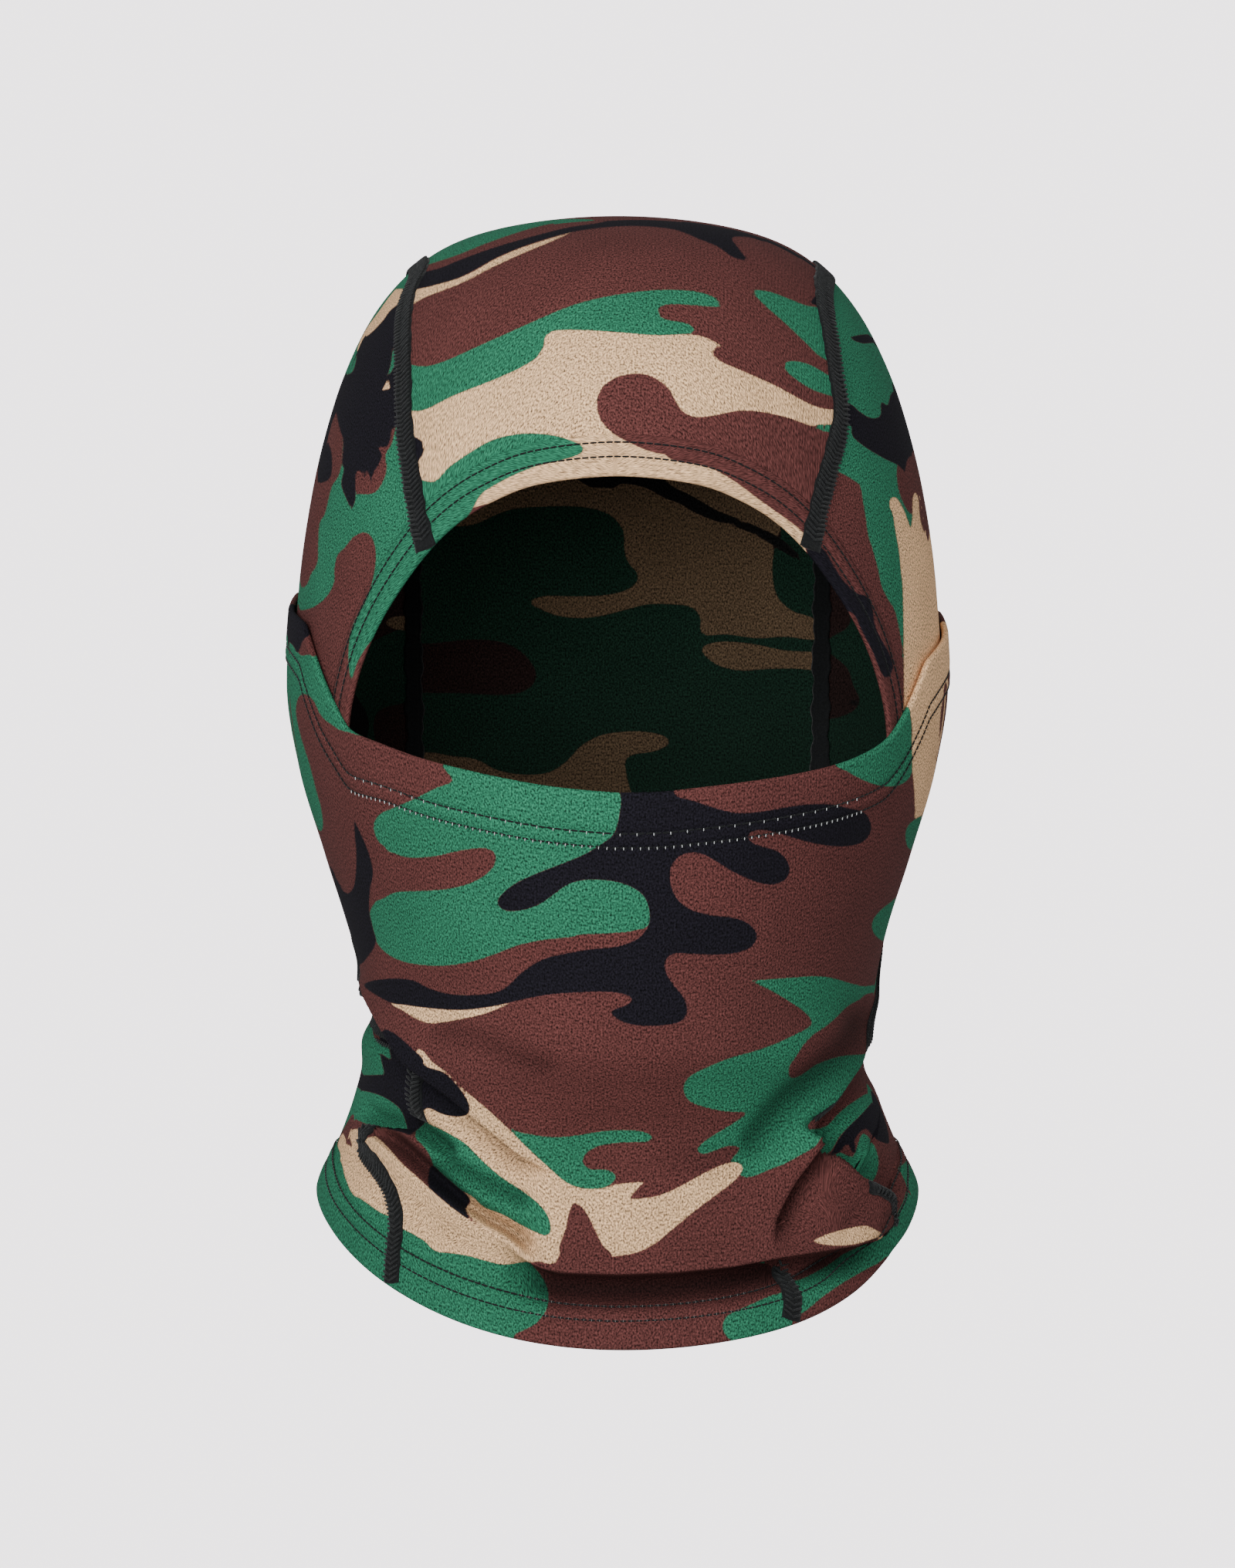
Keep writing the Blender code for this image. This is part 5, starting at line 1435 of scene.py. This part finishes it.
sheets = [
    on_hood(crown(), PRINT, "crown_panel"),
    on_hood(side_panel("left_side", 1, LEFT_SHAPES, LEFT_SEED), PRINT, "left_side_panel"),
    on_hood(side_panel("right_side", -1, RIGHT_SHAPES, RIGHT_SEED), PRINT, "right_side_panel"),
    on_hood(chin_panel(), PRINT, "chin_panel"),
    on_hood(opening_hem(), PRINT, "face_opening_hem"),
    on_hood(bottom_hem(), PRINT, "bottom_hem"),
    on_cover(front_panel(), PRINT, "front_neck_panel", "face_cover", "cover_hem"),
]

# A neck seam shows in lengths between the folds that hide it: lowest and highest point in the camera's view,
# and width.
NECK_SEAM_PARTS = {
    1: {"lower": (-150, -120.6, 5.4), "middle": (-112, -103.0, 3.4), "upper": (-84.6, 90, 4.6)},
    -1: {"lower": (-150, -88.1, 5.4), "upper": (-83.6, 90, 6.4)},
}

for word, side in (("left", 1), ("right", -1)):
    line, name = crown_seam_line(side), f"{word}_crown_seam"
    on_hood(seam(f"{name}_thread", line, 6.4, seam_base), THREAD, name)
    on_hood(seam_loops(f"{name}_loops", line[3:-3], 5.8, seam_base), THREAD)
    on_hood(seam(f"{name}_inside", line[line[:, 1] > 20], 5.2, 0.0, inner=True), THREAD)
    line = NECK_SEAMS[side]
    height = seen(line)[:, 1]
    for part, (low, high, width) in NECK_SEAM_PARTS[side].items():
        length, base = line[(height > low) & (height < high)], neck_seam_base
        if part == "middle":
            length, base = on_front(FLAP_SEAM, 1, np.linspace(low, high, 60)), on_front_panel
        name = f"{word}_neck_seam_{part}"
        on_hood(seam(name, length, width, base), THREAD, f"{word}_neck_seam")
        on_hood(seam_loops(f"{name}_loops", length[3:-3], width - 0.6, base), THREAD)

for name, inset in zip(("opening_stitch_inner", "opening_stitch_outer"), OPENING_ROWS):
    row = stitches(f"{name}_thread", opening_loop(inset, 300), True, FABRIC + 0.45, BLACK_THREAD)
    on_hood(row, THREAD, name)
for name, inset in zip(("bottom_stitch_lower", "bottom_stitch_upper"), BOTTOM_ROWS):
    row = bottom_loop(inset, 300)
    on_hood(stitches(f"{name}_thread", row, True, FABRIC + 0.55, BLACK_THREAD), THREAD, name)
    ticks = stitches(f"{name}_ticks", row, True, FABRIC + 0.72, DULL_FIBRE, 2.0, 0.6, 0.08, True,
                     keep=lambda p: (p[:, 1] < -40) & (p[:, 0] > -25) & (p[:, 0] < 35))
    on_hood(ticks, PRINT)
for name, below, apart in zip(("cover_stitch_upper", "cover_stitch_lower"), COVER_ROWS, (4.0, 2.0)):
    on_cover(stitches(f"{name}_thread", cover_row(below), False, on_front_panel, BLACK_THREAD), THREAD, name)
    ticks = stitches(f"{name}_ticks", cover_row(below + 0.2), False, lambda p: on_front_panel(p) + 0.22,
                     PALE_FIBRE, apart, 0.75, 0.12, True,
                     keep=lambda p: (p[:, 0] > -66) & (p[:, 0] < 60) & (p[:, 1] < 0))
    on_cover(ticks, PRINT)

for word, side in (("left", 1), ("right", -1)):
    line = round_at(side * (WING_BACK - 0.5), np.linspace(TACK_LOW, TACK_HIGH, 40))
    tack = seam(f"{word}_tack_thread", line, TACK_WIDTH, FABRIC + 1.5, pitch=0.9)
    on_hood(tack, THREAD, f"{word}_cover_tack")
sheets.append(on_hood(label(), "label_tape", "care_label"))


# ---- the picture ----

lens = bpy.data.cameras.new("camera")
lens.lens, lens.sensor_width, lens.sensor_fit = LENS, SENSOR, "AUTO"
camera = placed("camera", lens)
camera.location = (UP * AIM_UP - VIEW * CAMERA_FAR) * MM
camera.rotation_euler = (math.pi / 2 - CAMERA_TILT, 0.0, 0.0)
bpy.context.scene.camera = camera


def lamp(name, place, size, power):
    """A square lamp that faces the origin."""
    data = bpy.data.lights.new(name, "AREA")
    data.shape, data.size, data.energy = "SQUARE", size, power
    made = placed(name, data)
    made.location = place
    made.rotation_euler = (-mathutils.Vector(place)).to_track_quat("-Z", "Y").to_euler()


lamp("key", (-0.6, -2.0, 0.55), 1.1, 43.0)
lamp("fill", (0.8, -2.2, 0.8), 1.4, 10.0)

world = bpy.data.worlds.new("studio")
bpy.context.scene.world = world
world.use_nodes = True
world.node_tree.nodes["Background"].inputs["Color"].default_value = (1.0, 0.99, 0.995, 1.0)
world.node_tree.nodes["Background"].inputs["Strength"].default_value = 0.42

# A pale floor under the hood that sweeps up behind it. It glows, so that no lamp shades it.
GLOW = (3.2, 3.04, 3.12)
backdrop = bpy.data.materials.new("pale_backdrop")
backdrop.use_nodes = True
nodes = backdrop.node_tree.nodes
nodes.remove(nodes["Principled BSDF"])
glow = nodes.new("ShaderNodeEmission")
glow.inputs["Color"].default_value = (*(c / GLOW[0] for c in GLOW), 1.0)
glow.inputs["Strength"].default_value = GLOW[0]
backdrop.node_tree.links.new(glow.outputs[0], nodes["Material Output"].inputs["Surface"])

FLOOR_Z, FLOOR_HALF, FLOOR_FRONT, FLOOR_BACK, SWEEP, WALL = -600.0, 6000.0, -1500.0, 3000.0, 1200.0, 5000.0
profile = [(FLOOR_FRONT, FLOOR_Z), (FLOOR_BACK, FLOOR_Z)]
profile += [(FLOOR_BACK + SWEEP * math.sin(a), FLOOR_Z + SWEEP * (1 - math.cos(a)))
            for a in np.radians(np.linspace(10, 90, 9))]
profile.append((FLOOR_BACK + SWEEP, FLOOR_Z + WALL))
corners = np.array([(x, y, z) for y, z in profile for x in (-FLOOR_HALF, FLOOR_HALF)])
strips = [(2 * k, 2 * k + 1, 2 * k + 3, 2 * k + 2) for k in range(len(profile) - 1)]
floor = smooth_mesh("floor", corners, strips, (backdrop,))
floor.visible_diffuse = floor.visible_glossy = floor.visible_transmission = False
